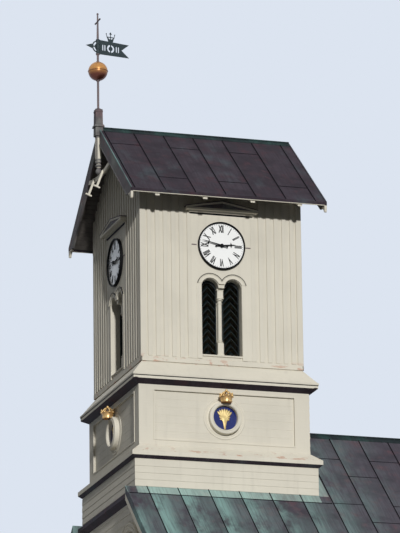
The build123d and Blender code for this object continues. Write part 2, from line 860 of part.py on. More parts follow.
with BuildPart() as bargeboards:
    for end in (-1, 1):
        with BuildSketch(across_plane.offset(end * slab_half)):
            for hand in (-1, 1):
                board_outline(hand)
        extrude(amount=end * bargeboard_thickness)
    cut_post()
finish(bargeboards, "bargeboards")

# Shaped brackets that carry the eaves
with BuildPart() as eave_brackets:
    first = -bracket_spacing * (bracket_count - 1) / 2
    for hand in (-1, 1):
        for number in range(bracket_count):
            tip = eave_half - bracket_inset
            wall_soffit = tower_top(belfry_half) - tower_drop
            tip_soffit = tower_top(tip) - tower_drop
            place = first + number * bracket_spacing
            with BuildSketch(across_plane.offset(place - bracket_width / 2)):
                with BuildLine():
                    Polyline(
                        (hand * belfry_half, wall_soffit - 2 * bracket_depth),
                        (hand * belfry_half, wall_soffit), (hand * tip, tip_soffit),
                        (hand * tip, tip_soffit - bracket_tip_depth))
                    ThreePointArc(
                        (hand * tip, tip_soffit - bracket_tip_depth),
                        (hand * (belfry_half + tip) / 2,
                         (wall_soffit + tip_soffit) / 2 - bracket_depth),
                        (hand * belfry_half, wall_soffit - 2 * bracket_depth))
                make_face()
            extrude(amount=bracket_width)
finish(eave_brackets, "eave_brackets")

# Open gable truss: a sagging collar under the pendant's ball, and two leaning rods with feet
with BuildPart() as gable_truss:
    collar_top = ball_centre - pendant_ball_radius - seat_gap
    end_foot = collar_sag - collar_depth
    reach = (tower_ridge - board_drop - collar_top - end_foot) / tower_tan
    with BuildSketch(Plane(origin=(post_x, 0, collar_top), x_dir=(0, 1, 0), z_dir=(1, 0, 0))):
        with BuildLine():
            ThreePointArc((-reach, collar_sag), (0, 0), (reach, collar_sag))
            Line((reach, collar_sag), (reach, end_foot))
            ThreePointArc((reach, end_foot), (0, -collar_depth), (-reach, end_foot))
            Line((-reach, end_foot), (-reach, collar_sag))
        make_face()
    extrude(amount=bargeboard_thickness)
    with BuildSketch(Plane(origin=(post_x, 0, 0), x_dir=(0, 1, 0), z_dir=(1, 0, 0))):
        for hand in (-1, 1):
            board_outline(hand)
    extrude(amount=bargeboard_thickness, mode=Mode.SUBTRACT)
    lean = math.radians(truss_rod_lean)
    for hand in (-1, 1):
        head = Plane(origin=(post_x, hand * truss_rod_place, collar_top),
                     x_dir=(math.cos(lean), 0, -math.sin(lean)),
                     z_dir=(-math.sin(lean), 0, -math.cos(lean)))
        with BuildSketch(head):
            Rectangle(truss_rod_width, truss_rod_width)
        extrude(amount=truss_rod_length)
        with BuildSketch(head.offset(truss_rod_length)):
            Rectangle(truss_foot_length, truss_rod_width)
        extrude(amount=truss_foot_depth)
finish(gable_truss, "gable_truss")

# Rod with a fixed cross, gilt ball and weathervane
vane_level = post_top + vane_height
stop_level = vane_level - vane_depth / 2 - running_gap

with BuildPart() as spire_rod:
    with BuildSketch(Plane(origin=(post_x, 0, post_top), x_dir=(1, 0, 0), z_dir=(0, -1, 0))):
        stop = stop_level - post_top
        polygon([
            (0, 0), (2 * rod_radius, 0), (rod_radius, 2 * rod_radius),
            (rod_radius, stop - vane_stop_height), (vane_stop_radius, stop - vane_stop_height / 2),
            (vane_stop_radius, stop), (rod_radius, stop), (rod_radius, stop + vane_depth * 1.2),
            (rod_tip_radius, rod_length), (0, rod_length)])
    revolve(axis=Axis((post_x, 0, 0), (0, 0, 1)))
    with Locations((post_x, 0, post_top + rod_length)):
        Sphere(rod_radius)
    with Locations(Location((post_x, 0, post_top + rod_cross_height), (90, 0, 0))):
        Cylinder(rod_cross_radius, rod_cross_length)
finish(spire_rod, "spire_rod")

with BuildPart() as gilt_ball:
    with Locations((post_x, 0, post_top + ball_height)):
        Sphere(ball_radius)
        Cylinder(rod_radius + running_gap, 3 * ball_radius, mode=Mode.SUBTRACT)
finish(gilt_ball, "gilt_ball")

yaw = math.radians(vane_yaw)
vane_plane = Plane(origin=(post_x, 0, vane_level), x_dir=(math.cos(yaw), math.sin(yaw), 0),
                   z_dir=(math.sin(yaw), -math.cos(yaw), 0))

with BuildPart() as weathervane:
    half = vane_depth / 2
    tip = half - vane_taper
    with BuildSketch(vane_plane):
        for radius in (vane_scroll_radius, vane_inner_scroll_radius):
            Circle(radius)
            Circle(radius - vane_scroll_band, mode=Mode.SUBTRACT)
        polygon([
            (0, -half), (vane_length, -tip), (vane_length - vane_fork, 0), (vane_length, tip),
            (0, half)])
        with Locations((vane_ring_place, 0)):
            Circle(vane_ring_radius, mode=Mode.SUBTRACT)
            Circle(vane_disc_radius)
            Rectangle(vane_rib, 2 * vane_ring_radius + vane_rib)
        for number in (1, 2):
            slot = vane_ring_radius + number * vane_slot_step
            with Locations((vane_ring_place - slot, 0), (vane_ring_place + slot, 0)):
                SlotOverall(vane_slot_length, vane_slot_width, rotation=90, mode=Mode.SUBTRACT)
        polygon([
            (-vane_crown_foot / 2, -vane_taper), (vane_crown_foot / 2, -vane_taper),
            (vane_crown_width / 2, vane_crown_height),
            (vane_crown_foot / 4, vane_crown_height / 2), (vane_rib / 4, vane_crown_height / 2),
            (vane_rib / 4, vane_crown_finial), (-vane_rib / 4, vane_crown_finial),
            (-vane_rib / 4, vane_crown_height / 2), (-vane_crown_foot / 4, vane_crown_height / 2),
            (-vane_crown_width / 2, vane_crown_height)], place=(vane_ring_place, half))
        with Locations((vane_ring_place, half + vane_crown_finial)):
            Circle(vane_knob_radius)
        polygon([
            (-vane_arrow_length, 0), (0, vane_arrow_width / 2), (0, vane_scroll_band / 2),
            (vane_scroll_radius, vane_scroll_band / 2),
            (vane_scroll_radius, -vane_scroll_band / 2), (0, -vane_scroll_band / 2),
            (0, -vane_arrow_width / 2)], place=(-vane_scroll_radius, 0))
    extrude(amount=vane_thickness / 2, both=True)
    with Locations((post_x, 0, vane_level)):
        Cylinder(vane_tube_radius, vane_depth)
        Cylinder(rod_radius + running_gap, 2 * vane_depth, mode=Mode.SUBTRACT)
finish(weathervane, "weathervane")
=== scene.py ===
"""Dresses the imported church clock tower: boards, sheet copper, clock faces, mouldings and paint."""

import math

import bpy
from mathutils import Matrix, Vector


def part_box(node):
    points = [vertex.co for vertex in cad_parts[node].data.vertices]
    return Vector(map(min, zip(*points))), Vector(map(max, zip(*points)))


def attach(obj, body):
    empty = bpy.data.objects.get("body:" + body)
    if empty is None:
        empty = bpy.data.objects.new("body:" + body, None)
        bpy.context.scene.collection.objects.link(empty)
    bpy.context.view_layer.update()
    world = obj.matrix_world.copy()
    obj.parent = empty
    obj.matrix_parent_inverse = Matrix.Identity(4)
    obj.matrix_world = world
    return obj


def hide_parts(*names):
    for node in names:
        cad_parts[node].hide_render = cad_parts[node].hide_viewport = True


bl_info = {
    "name": "Church clock tower dressing",
    "version": (1, 0, 0),
    "blender": (4, 5, 0),
    "location": "3D View > Sidebar > Clock tower",
    "description": "Adds cladding, sheet copper, clock faces, mouldings and finishes to the tower",
    "category": "Object",
}

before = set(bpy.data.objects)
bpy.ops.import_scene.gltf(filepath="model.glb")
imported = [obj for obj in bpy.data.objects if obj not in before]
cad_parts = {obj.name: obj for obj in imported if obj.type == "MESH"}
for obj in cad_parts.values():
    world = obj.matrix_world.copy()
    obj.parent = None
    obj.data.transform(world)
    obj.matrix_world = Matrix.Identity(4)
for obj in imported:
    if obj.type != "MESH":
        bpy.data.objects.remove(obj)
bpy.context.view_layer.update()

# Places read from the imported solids, in metres
west_low, west_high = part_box("belfry_wall_west")
east_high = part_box("belfry_wall_east")[1]
TOWER_X = (west_low.x + east_high.x) / 2
BELFRY_HALF = west_high.y
BELFRY_FOOT = west_low.z
PANEL_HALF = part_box("panel_wall_west")[1].y
PANEL_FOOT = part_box("panel_wall_west")[0].z
PANEL_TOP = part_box("panel_wall_west")[1].z
BASE_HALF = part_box("base_wall_west")[1].y
FACADE_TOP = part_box("base_wall_west")[0].z
BASE_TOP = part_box("base_wall_west")[1].z
FRONT_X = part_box("front_gable_wall")[0].x

SLAB_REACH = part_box("tower_roof_north")[1].y
EAVE_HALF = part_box("eave_boards")[1].y
VERGE_HALF = TOWER_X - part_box("bargeboards")[0].x
TOWER_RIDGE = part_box("tower_roof_north")[1].z
TOWER_TAN = (TOWER_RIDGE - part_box("eave_boards")[1].z) / SLAB_REACH
TOWER_PITCH = math.atan(TOWER_TAN)
SLAB_DROP = TOWER_RIDGE - TOWER_TAN * SLAB_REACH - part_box("tower_roof_north")[0].z

NAVE_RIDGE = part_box("nave_roof_north")[1].z
NAVE_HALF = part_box("nave_roof_north")[1].y
NAVE_TAN = NAVE_RIDGE / NAVE_HALF
NAVE_PITCH = math.atan(NAVE_TAN)
NAVE_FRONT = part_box("nave_roof_north")[0].x
NAVE_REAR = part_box("nave_roof_north")[1].x
FLASHING_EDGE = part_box("apron_flashings")[1].y

# The clock board, the dial, its rim, the hands and the hood; fronts are from the wall's face
CLOCK_LEVEL = sum(corner.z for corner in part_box("clock_dials")) / 2
CLOCK_PANEL_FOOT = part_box("clock_panels")[0].z
CLOCK_PANEL_HALF = 0.875
CLOCK_PANEL_FRONT = 0.024
DIAL_RADIUS = 0.612
DIAL_FRONT = 0.064
RIM_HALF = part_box("dial_rims")[1].z - CLOCK_LEVEL
RIM_FRONT = 0.104
MINUTE_FRONT = -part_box("minute_hand_south")[0].y
HOOD_BED = 0.05
HOOD_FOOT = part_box("clock_hoods")[0].z + HOOD_BED
HOOD_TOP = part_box("clock_hoods")[1].z
HOOD_HALF = 0.975
HOOD_REACH = 0.17
HOOD_RISE = 0.18

# The twin lights: sill, springing and crown, and how far each one is from the middle
LIGHT_SILL, LIGHT_SPRING = (corner.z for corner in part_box("colonnettes"))
LIGHT_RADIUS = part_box("louvres")[1].z - LIGHT_SPRING
LIGHT_PLACE = 0.315
SURROUND_RADIUS = 0.36
SURROUND_FRONT = 0.045
SURROUND_FOOT = 0.095
COLUMN_BACK = 0.19

# The sunk panel and its medallion
SUNK_HALF = 1.91
SUNK_FOOT = PANEL_FOOT + 0.18
SUNK_TOP = PANEL_TOP - 0.145
SUNK_DEPTH = 0.045
MEDALLION_LEVEL = (SUNK_FOOT + SUNK_TOP) / 2
MEDALLION_SIDES = ("south", "north", "west")

# The post on the ridge, with the gilt ball and the weathervane over it
POST_X = sum(corner.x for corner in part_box("gilt_ball")) / 2
BALL_LEVEL = sum(corner.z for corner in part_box("gilt_ball")) / 2
BALL_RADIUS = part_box("gilt_ball")[1].z - BALL_LEVEL
POST_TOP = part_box("finial_post")[1].z
VANE_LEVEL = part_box("spire_rod")[1].z - 0.96

# The round windows in the front gable
WINDOW_LEVEL = 1.25
WINDOW_PLACE = 1.95
WINDOW_RADIUS = 0.85
WINDOW_FRAME = 0.14

# The westernmost seams of the tower's and the nave's roof, from the tower's axis along x
TOWER_SEAM = -2.588
NAVE_SEAM = -2.19
TRAY_WIDTH = 0.83

# Turn of each side about the tower's axis, from the south side
SIDES = {"south": 0, "east": 90, "north": 180, "west": 270}
# The two slopes of a roof, and the side of the ridge that each is on
SLOPES = (("south", -1), ("north", 1))

# How far a trim reaches into what carries it, so that no gap shows
SEAT = 0.002
# The plinth boards round the belfry's foot
PLINTH_HEIGHT = 0.15
PLINTH_FRONT = 0.036
# How far a roll's middle lies over its ridge, and the roll's radius
ROLL_RISE = 0.024
ROLL_RADIUS = 0.028

# Finish and material slot of pieces that are made of the same
UPRIGHT_BOARDS = ("oil_painted_upright_boards", "painted_boards")
LEVEL_BOARDS = ("oil_painted_level_boards", "painted_boards")
JOINERY = ("oil_painted_planed_joinery", "painted_joinery")
BROWN_COPPER = ("brown_sheet_copper", "copper_roofing")
HALF_GREEN_COPPER = ("half_green_sheet_copper", "copper_roofing")
STREAKED_LIT_COPPER = ("streaked_sky_lit_copper_cladding", "copper_roofing")
SHADE_BLACK_COPPER = ("shade_black_copper_folds", "copper_roofing")
RIDGE_COPPER = ("dark_green_sheet_copper", "green_copper")
IRON = ("rusted_wrought_iron", "forged_iron")


def linear(hex_colour):
    """The linear colour that a shader takes for an sRGB hex value."""
    channels = [int(hex_colour[place:place + 2], 16) / 255 for place in (0, 2, 4)]
    return [c / 12.92 if c <= 0.04045 else ((c + 0.055) / 1.055) ** 2.4 for c in channels]


def add_node(tree, kind, inputs=None, **settings):
    """Add a node with its settings, and set or link its inputs."""
    made = tree.nodes.new("ShaderNode" + kind)
    for name, value in settings.items():
        setattr(made, name, value)
    for name, value in (inputs or {}).items():
        if isinstance(value, bpy.types.NodeSocket):
            tree.links.new(value, made.inputs[name])
        else:
            made.inputs[name].default_value = value
    return made


class TowerStageSettings(bpy.types.PropertyGroup):
    """The floor and the light round the tower."""

    floor_radius: bpy.props.FloatProperty(
        name="Floor radius", description="Radius of the pale floor", default=8.4,
        unit="LENGTH", subtype="DISTANCE")
    floor_colour: bpy.props.FloatVectorProperty(
        name="Floor colour", description="Colour of the floor", subtype="COLOR",
        default=linear("DCDBD8"))
    backdrop_colour: bpy.props.FloatVectorProperty(
        name="Backdrop colour", description="Pale colour behind the tower", subtype="COLOR",
        default=linear("DCE4F0"))
    key_strength: bpy.props.FloatProperty(
        name="Key light", description="Strength of the key light", default=2.6)
    key_height: bpy.props.FloatProperty(
        name="Key height", description="Angle of the key light above the horizon",
        default=math.radians(16.5), unit="ROTATION", subtype="ANGLE")
    top_strength: bpy.props.FloatProperty(
        name="Top light", description="Strength of the wide soft light from overhead",
        default=0.45)
    fill_above: bpy.props.FloatProperty(
        name="Fill from above", description="Strength of the even light from above",
        default=0.125)
    fill_below: bpy.props.FloatProperty(
        name="Fill from below", description="Strength of the even light from below",
        default=0.05)


class TowerTimberSettings(bpy.types.PropertyGroup):
    """Boards and their paint."""

    board_pitch: bpy.props.FloatProperty(
        name="Board spacing", description="Distance between the upright cover boards",
        default=0.219, unit="LENGTH", subtype="DISTANCE")
    board_width: bpy.props.FloatProperty(
        name="Board width", description="Width of an upright cover board",
        default=0.12, unit="LENGTH", subtype="DISTANCE")
    board_depth: bpy.props.FloatProperty(
        name="Board depth", description="How far a cover board stands out of the wall",
        default=0.03, unit="LENGTH", subtype="DISTANCE")
    siding_pitch: bpy.props.FloatProperty(
        name="Siding height", description="Height of a level siding board that shows",
        default=0.22, unit="LENGTH", subtype="DISTANCE")
    paint: bpy.props.FloatVectorProperty(
        name="Paint", description="Cream oil paint on the boards", subtype="COLOR",
        default=linear("DAD4C4"))
    bare_wood: bpy.props.FloatVectorProperty(
        name="Bare wood", description="Wood where the paint has flaked", subtype="COLOR",
        default=linear("BE8C74"))


class TowerCopperSettings(bpy.types.PropertyGroup):
    """Sheet copper on the roofs."""

    seam_pitch: bpy.props.FloatProperty(
        name="Seam spacing", description="Distance between the standing seams",
        default=TRAY_WIDTH, unit="LENGTH", subtype="DISTANCE")
    seam_height: bpy.props.FloatProperty(
        name="Seam height", description="Height of a standing seam",
        default=0.03, unit="LENGTH", subtype="DISTANCE")
    lap_pitch: bpy.props.FloatProperty(
        name="Sheet length", description="Distance between the cross laps of one tray",
        default=2.4, unit="LENGTH", subtype="DISTANCE")
    brown: bpy.props.FloatVectorProperty(
        name="Brown copper", description="Oxidised copper sheet", subtype="COLOR",
        default=linear("393138"))
    patina: bpy.props.FloatVectorProperty(
        name="Patina", description="Green copper patina", subtype="COLOR",
        default=linear("A4C2B9"))


class TowerClockSettings(bpy.types.PropertyGroup):
    """Clock faces."""

    numeral_height: bpy.props.FloatProperty(
        name="Numeral height", description="Height of the hour numerals",
        default=0.19, unit="LENGTH", subtype="DISTANCE")
    numeral_ring: bpy.props.FloatProperty(
        name="Numeral ring", description="Radius at the middle of the numerals",
        default=0.45, unit="LENGTH", subtype="DISTANCE")
    enamel: bpy.props.FloatVectorProperty(
        name="Enamel", description="White enamel of the dials", subtype="COLOR",
        default=linear("FAFAF7"))


SETTINGS = {
    "tower_stage": TowerStageSettings,
    "tower_timber": TowerTimberSettings,
    "tower_copper": TowerCopperSettings,
    "tower_clock": TowerClockSettings,
}


def only(*pieces):
    """Select these pieces and nothing else."""
    bpy.ops.object.select_all(action="DESELECT")
    for piece in pieces:
        piece.select_set(True)
    bpy.context.view_layer.objects.active = pieces[-1]


def edit(piece):
    """Open one piece in edit mode with all of it selected."""
    only(piece)
    bpy.ops.object.mode_set(mode="EDIT")
    bpy.ops.mesh.select_all(action="SELECT")


def close_edit():
    """Leave edit mode and hand back the piece."""
    bpy.ops.object.mode_set(mode="OBJECT")
    return bpy.context.object


def settle(piece, place=None):
    """Take a place into a piece's mesh, so that its object sits at the origin."""
    only(piece)
    if place is not None:
        piece.matrix_world = place @ piece.matrix_world
    bpy.ops.object.transform_apply(location=True, rotation=True, scale=True)
    return piece


def board(low, high, ease=0.004):
    """A board between two corners, its edges eased by a plane."""
    bpy.ops.object.select_all(action="DESELECT")
    middle = [(a + b) / 2 for a, b in zip(low, high)]
    bpy.ops.mesh.primitive_cube_add(size=1, location=middle)
    piece = bpy.context.object
    piece.scale = [b - a for a, b in zip(low, high)]
    settle(piece)
    edit(piece)
    bpy.ops.mesh.bevel(offset=ease, segments=1, affect="EDGES")
    return close_edit()


def beside(hand, near, far, front, back, low, high, ease=0.004):
    """A board on one hand of the tower's middle, between two distances from it."""
    left, right = sorted((TOWER_X + hand * near, TOWER_X + hand * far))
    return board((left, front, low), (right, back, high), ease)


def moulding(section, run, start=(0, 0, 0), across=(0, -1, 0), up=(0, 0, 1)):
    """A run of moulding: the corners of its section are set, then it is drawn out."""
    bpy.ops.object.select_all(action="DESELECT")
    bpy.ops.mesh.primitive_circle_add(vertices=len(section), fill_type="NGON")
    piece = bpy.context.object
    for corner, (out, rise) in zip(piece.data.vertices, section):
        corner.co = Vector(start) + Vector(across) * out + Vector(up) * rise
    edit(piece)
    bpy.ops.mesh.extrude_region_move(TRANSFORM_OT_translate={"value": run})
    bpy.ops.mesh.select_all(action="SELECT")
    bpy.ops.mesh.normals_make_consistent(inside=False)
    return close_edit()


def turned(section, centre, axis=(0, 0, 1), steps=32, first=(1, 0, 0), angle=360):
    """A turned shape: a closed section of (radius, height) corners, spun about an axis.

    A part turn runs anticlockwise as seen against the axis.
    """
    bpy.ops.object.select_all(action="DESELECT")
    bpy.ops.mesh.primitive_circle_add(vertices=len(section), fill_type="NOTHING")
    piece = bpy.context.object
    centre, axis, first = Vector(centre), Vector(axis), Vector(first)
    for corner, (radius, height) in zip(piece.data.vertices, section):
        corner.co = centre + first * radius + axis * height
    edit(piece)
    bpy.ops.mesh.spin(steps=steps, angle=-math.radians(angle), center=centre, axis=axis)
    bpy.ops.mesh.select_all(action="SELECT")
    bpy.ops.mesh.remove_doubles(threshold=0.0004)
    bpy.ops.mesh.fill_holes(sides=0)
    bpy.ops.mesh.select_all(action="SELECT")
    bpy.ops.mesh.normals_make_consistent(inside=False)
    return close_edit()


def rounded(radius, height=0.0, sides=8, centre=0.0):
    """The closed round section of a bead, for turned and moulding."""
    turns = [2 * math.pi * (side + 0.5) / sides for side in range(sides)]
    return [(centre + radius * math.cos(t), height + radius * math.sin(t)) for t in turns]


def bevelled_boards(count, height):
    """The section of a stack of bevelled siding boards, each thick at its lower edge."""
    section = [(-SEAT, 0)]
    for number in range(count):
        foot = number * height
        section += [(0.013, foot), (0.015, foot + 0.005), (0.005, foot + height)]
    return section + [(-SEAT, count * height)]


def row_of(piece, count, step):
    """Repeat a piece at an even step."""
    only(piece)
    row = piece.modifiers.new("row", "ARRAY")
    row.use_relative_offset = False
    row.use_constant_offset = True
    row.constant_offset_displace = step
    row.count = count
    bpy.ops.object.modifier_apply(modifier=row.name)
    return piece


def copy_of(piece, place=None):
    """A copy with its own mesh, put in another place."""
    only(piece)
    bpy.ops.object.duplicate(linked=False)
    return settle(bpy.context.object, place)


def saw(piece, point, outward):
    """Saw off what lies past a plane, and close the cut."""
    edit(piece)
    bpy.ops.mesh.bisect(plane_co=point, plane_no=outward, use_fill=True, clear_outer=True)
    return close_edit()


def carve(piece, cutter):
    """Take a cutter's shape out of a piece."""
    only(piece)
    cut = piece.modifiers.new("cut", "BOOLEAN")
    cut.operation = "DIFFERENCE"
    cut.object = cutter
    faces = len(piece.data.polygons)
    bpy.ops.object.modifier_apply(modifier=cut.name)
    bpy.data.objects.remove(cutter)
    if len(piece.data.polygons) <= faces:
        raise RuntimeError(f"nothing was cut out of {piece.name}")
    return piece


def joined(*pieces):
    """Join several pieces into one."""
    only(*pieces)
    if len(pieces) > 1:
        bpy.ops.object.join()
    return bpy.context.object


def dress(piece, name, finish, slot, body="tower", smooth=None):
    """Name a finished piece, give it its finish and let it ride on its body."""
    piece.name = name
    piece.data.name = name
    piece.data.materials.clear()
    piece.data.materials.append(bpy.data.materials[finish])
    if smooth is not None:
        only(piece)
        bpy.ops.object.shade_smooth_by_angle(angle=math.radians(smooth))
    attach(piece, body)
    return piece


def side_turn(side):
    """The turn that takes a piece from the south side of the tower to another side."""
    axis = Matrix.Translation((TOWER_X, 0, 0))
    return axis @ Matrix.Rotation(math.radians(SIDES[side]), 4, "Z") @ axis.inverted()


def dress_sides(piece, name, finish, slot, sides=tuple(SIDES), smooth=None):
    """Dress the same piece on several sides of the tower; it is modelled on the south side."""
    for side in sides:
        copy = copy_of(piece, side_turn(side))
        dress(copy, f"{name}_{side}", finish, slot, smooth=smooth)
    bpy.data.objects.remove(piece)


def roof_slope(hand, middle_x, ridge, pitch):
    """Where a roof slope lies: x along the ridge, y up the slope, z out of it."""
    facing = Matrix.Rotation(0 if hand < 0 else math.pi, 4, "Z")
    lean = Matrix.Rotation(pitch, 4, "X")
    return Matrix.Translation((middle_x, 0, ridge)) @ facing @ lean


def patches(tree, place, size_mm, edge, stretch=(1, 1, 1), detail=3.0):
    """A mask of soft patches of about this size; edge says where a patch starts and is full."""
    laid = add_node(tree, "Mapping", {
        "Vector": place, "Scale": [1000 / size_mm / reach for reach in stretch]})
    noise = add_node(tree, "TexNoise", {
        "Vector": laid.outputs["Vector"], "Scale": 1.0, "Detail": detail, "Roughness": 0.6})
    mask = add_node(tree, "MapRange", {
        "Value": noise.outputs["Fac"], "From Min": edge[0], "From Max": edge[1]},
        interpolation_type="SMOOTHSTEP")
    return mask.outputs["Result"]


def opaque(colour):
    """A colour with full alpha, as a colour socket takes it."""
    return [*colour, 1.0]


def new_finish(name, roughness, metallic=0.0, specular=0.5):
    """A material with its shader, and the coordinates that its patterns are laid on."""
    finish = bpy.data.materials.new(name)
    finish.use_nodes = True
    tree = finish.node_tree
    shader = tree.nodes["Principled BSDF"]
    shader.inputs["Roughness"].default_value = roughness
    shader.inputs["Metallic"].default_value = metallic
    shader.inputs["Specular IOR Level"].default_value = specular
    return tree, shader, add_node(tree, "TexCoord").outputs["Object"]


def lay_coats(tree, shader, base, coats, relief, depth_mm):
    """Lay coats over a base colour, each through its mask, and let a pattern stand out."""
    colour = opaque(base)
    for mask, coat in coats:
        colour = add_node(tree, "Mix", {0: mask, 6: colour, 7: opaque(coat)},
                          data_type="RGBA").outputs[2]
    tree.links.new(colour, shader.inputs["Base Color"])
    bump = add_node(tree, "Bump", {"Height": relief, "Distance": depth_mm / 1000})
    tree.links.new(bump.outputs["Normal"], shader.inputs["Normal"])


def painted_timber(name, paint, bare, grain, ledges=(BELFRY_FOOT, PANEL_FOOT - 0.2)):
    """Linseed oil paint brushed on softwood: half matt, with grain, rain streaks and flaking."""
    tree, shader, place = new_finish(name, 0.6, specular=0.12)
    # A board's tone varies over some 900 mm, and rain draws streaks of some 160 by 1900 mm
    cloudy = patches(tree, place, 900, (0.35, 0.75))
    streaks = patches(tree, place, 160, (0.5, 0.9), stretch=(1, 1, 12))
    # Softwood grain is some 3 mm wide; it is drawn 12 mm wide here, to show at this size
    lines = patches(tree, place, 12, (0.3, 0.7), stretch=grain, detail=2.0)
    # Splashing water flakes the paint in a band above each ledge, in patches of 90 mm
    height = add_node(tree, "SeparateXYZ", {"Vector": place}).outputs["Z"]
    flakes = patches(tree, place, 90, (0.56, 0.64), stretch=(3, 3, 1), detail=5.0)
    worn = []
    for ledge in ledges:
        band = add_node(tree, "MapRange", {
            "Value": height, "From Min": ledge - 0.02, "From Max": ledge + 0.24,
            "To Min": 0.8, "To Max": 0.0})
        below = add_node(tree, "Math", {0: height, 1: ledge - 0.03}, operation="GREATER_THAN")
        near = add_node(tree, "Math", {0: band.outputs["Result"], 1: below.outputs[0]},
                        operation="MULTIPLY")
        bared = add_node(tree, "Math", {0: near.outputs[0], 1: flakes}, operation="MULTIPLY")
        worn.append((bared.outputs[0], bare))
    coats = [(cloudy, [part * 0.94 for part in paint]), (streaks, [part * 0.88 for part in paint])]
    lay_coats(tree, shader, paint, coats + worn, lines, 0.8)


def sheet_copper(name, under, over, cover, seam, fade=(0.0, 40.0), streaky=0.0):
    """Rolled copper sheet oxidised outdoors: dull and cloudy, with a tone to each tray.

    The green patina starts at the west side of each tray, where the rain water runs, and
    fades between two places along the roof.
    """
    tree, shader, place = new_finish(name, 0.66, specular=0.08)
    along = add_node(tree, "SeparateXYZ", {"Vector": place}).outputs["X"]
    from_seam = add_node(tree, "Math", {0: along, 1: TOWER_X + seam}, operation="SUBTRACT")
    trays = add_node(tree, "Math", {0: from_seam.outputs[0], 1: TRAY_WIDTH}, operation="DIVIDE")
    whole = add_node(tree, "Math", {0: trays.outputs[0]}, operation="FLOOR").outputs[0]
    tone = add_node(tree, "TexWhiteNoise", {"W": whole}, noise_dimensions="1D").outputs["Value"]
    across = add_node(tree, "Math", {0: trays.outputs[0]}, operation="FRACT").outputs[0]
    # Cloudy patches of some 600 mm, and rain streaks of 50 by 900 mm down the slope
    cloudy = patches(tree, place, 600, (0.38, 0.7), detail=5.0)
    warm = patches(tree, place, 380, (0.5, 0.72), detail=4.0)
    streaks = patches(tree, place, 50, (0.35, 0.8), stretch=(1, 18, 18), detail=4.0)
    greened = patches(tree, place, 700, cover, stretch=(1, 1.7, 1.7), detail=6.0)
    west = add_node(tree, "MapRange", {
        "Value": across, "From Min": 0.1, "From Max": 0.75, "To Min": 1.0,
        "To Max": 1.0 - streaky}, interpolation_type="SMOOTHSTEP").outputs["Result"]
    left = add_node(tree, "MapRange", {
        "Value": along, "From Min": fade[0], "From Max": fade[1], "To Min": 1.0, "To Max": 0.0})
    share = add_node(tree, "Math", {0: greened, 1: west}, operation="MULTIPLY").outputs[0]
    share = add_node(tree, "Math", {0: share, 1: left.outputs["Result"]},
                     operation="MULTIPLY").outputs[0]
    washed = add_node(tree, "MapRange", {"Value": streaks, "To Min": 1.0, "To Max": 0.35})
    green = add_node(tree, "Math", {0: share, 1: washed.outputs["Result"]},
                     operation="MULTIPLY").outputs[0]
    coats = [(tone, [part * 1.25 + 0.004 for part in under]),
             (cloudy, [part * 0.62 for part in under]),
             (warm, [under[0] * 1.5, under[1] * 1.02, under[2] * 0.98]),
             (streaks, [part * 0.8 for part in under]), (green, over)]
    # Hand-laid sheet has shallow dents some 250 mm across
    lay_coats(tree, shader, under, coats, patches(tree, place, 250, (0.2, 0.8)), 2.0)


def coated_metal(name, colour, roughness, metallic=0.0, specular=0.5, worn=None, patch_mm=40,
                 share=(0.6, 0.7), painted_underside_shade=None, fade=0.88):
    """A coat on metal, with patches where it has weathered, and, where asked, faces turned down
    painted darker as shade.
    """
    tree, shader, place = new_finish(name, roughness, metallic, specular)
    faded = patches(tree, place, patch_mm * 4, (0.35, 0.7))
    spots = patches(tree, place, patch_mm, share, detail=5.0)
    coats = [(faded, [part * fade for part in colour]),
             (spots, worn or [part * 0.6 for part in colour])]
    # Painted shade: faces that turn down are darkened towards the shade colour
    if painted_underside_shade is not None:
        lie = add_node(tree, "NewGeometry").outputs["Normal"]
        rise = add_node(tree, "SeparateXYZ", {"Vector": lie}).outputs["Z"]
        under = add_node(tree, "MapRange", {"Value": rise, "From Min": 0.2, "From Max": -0.5})
        coats.append((under.outputs["Result"], painted_underside_shade))
    lay_coats(tree, shader, colour, coats, spots, 0.4)
    return shader


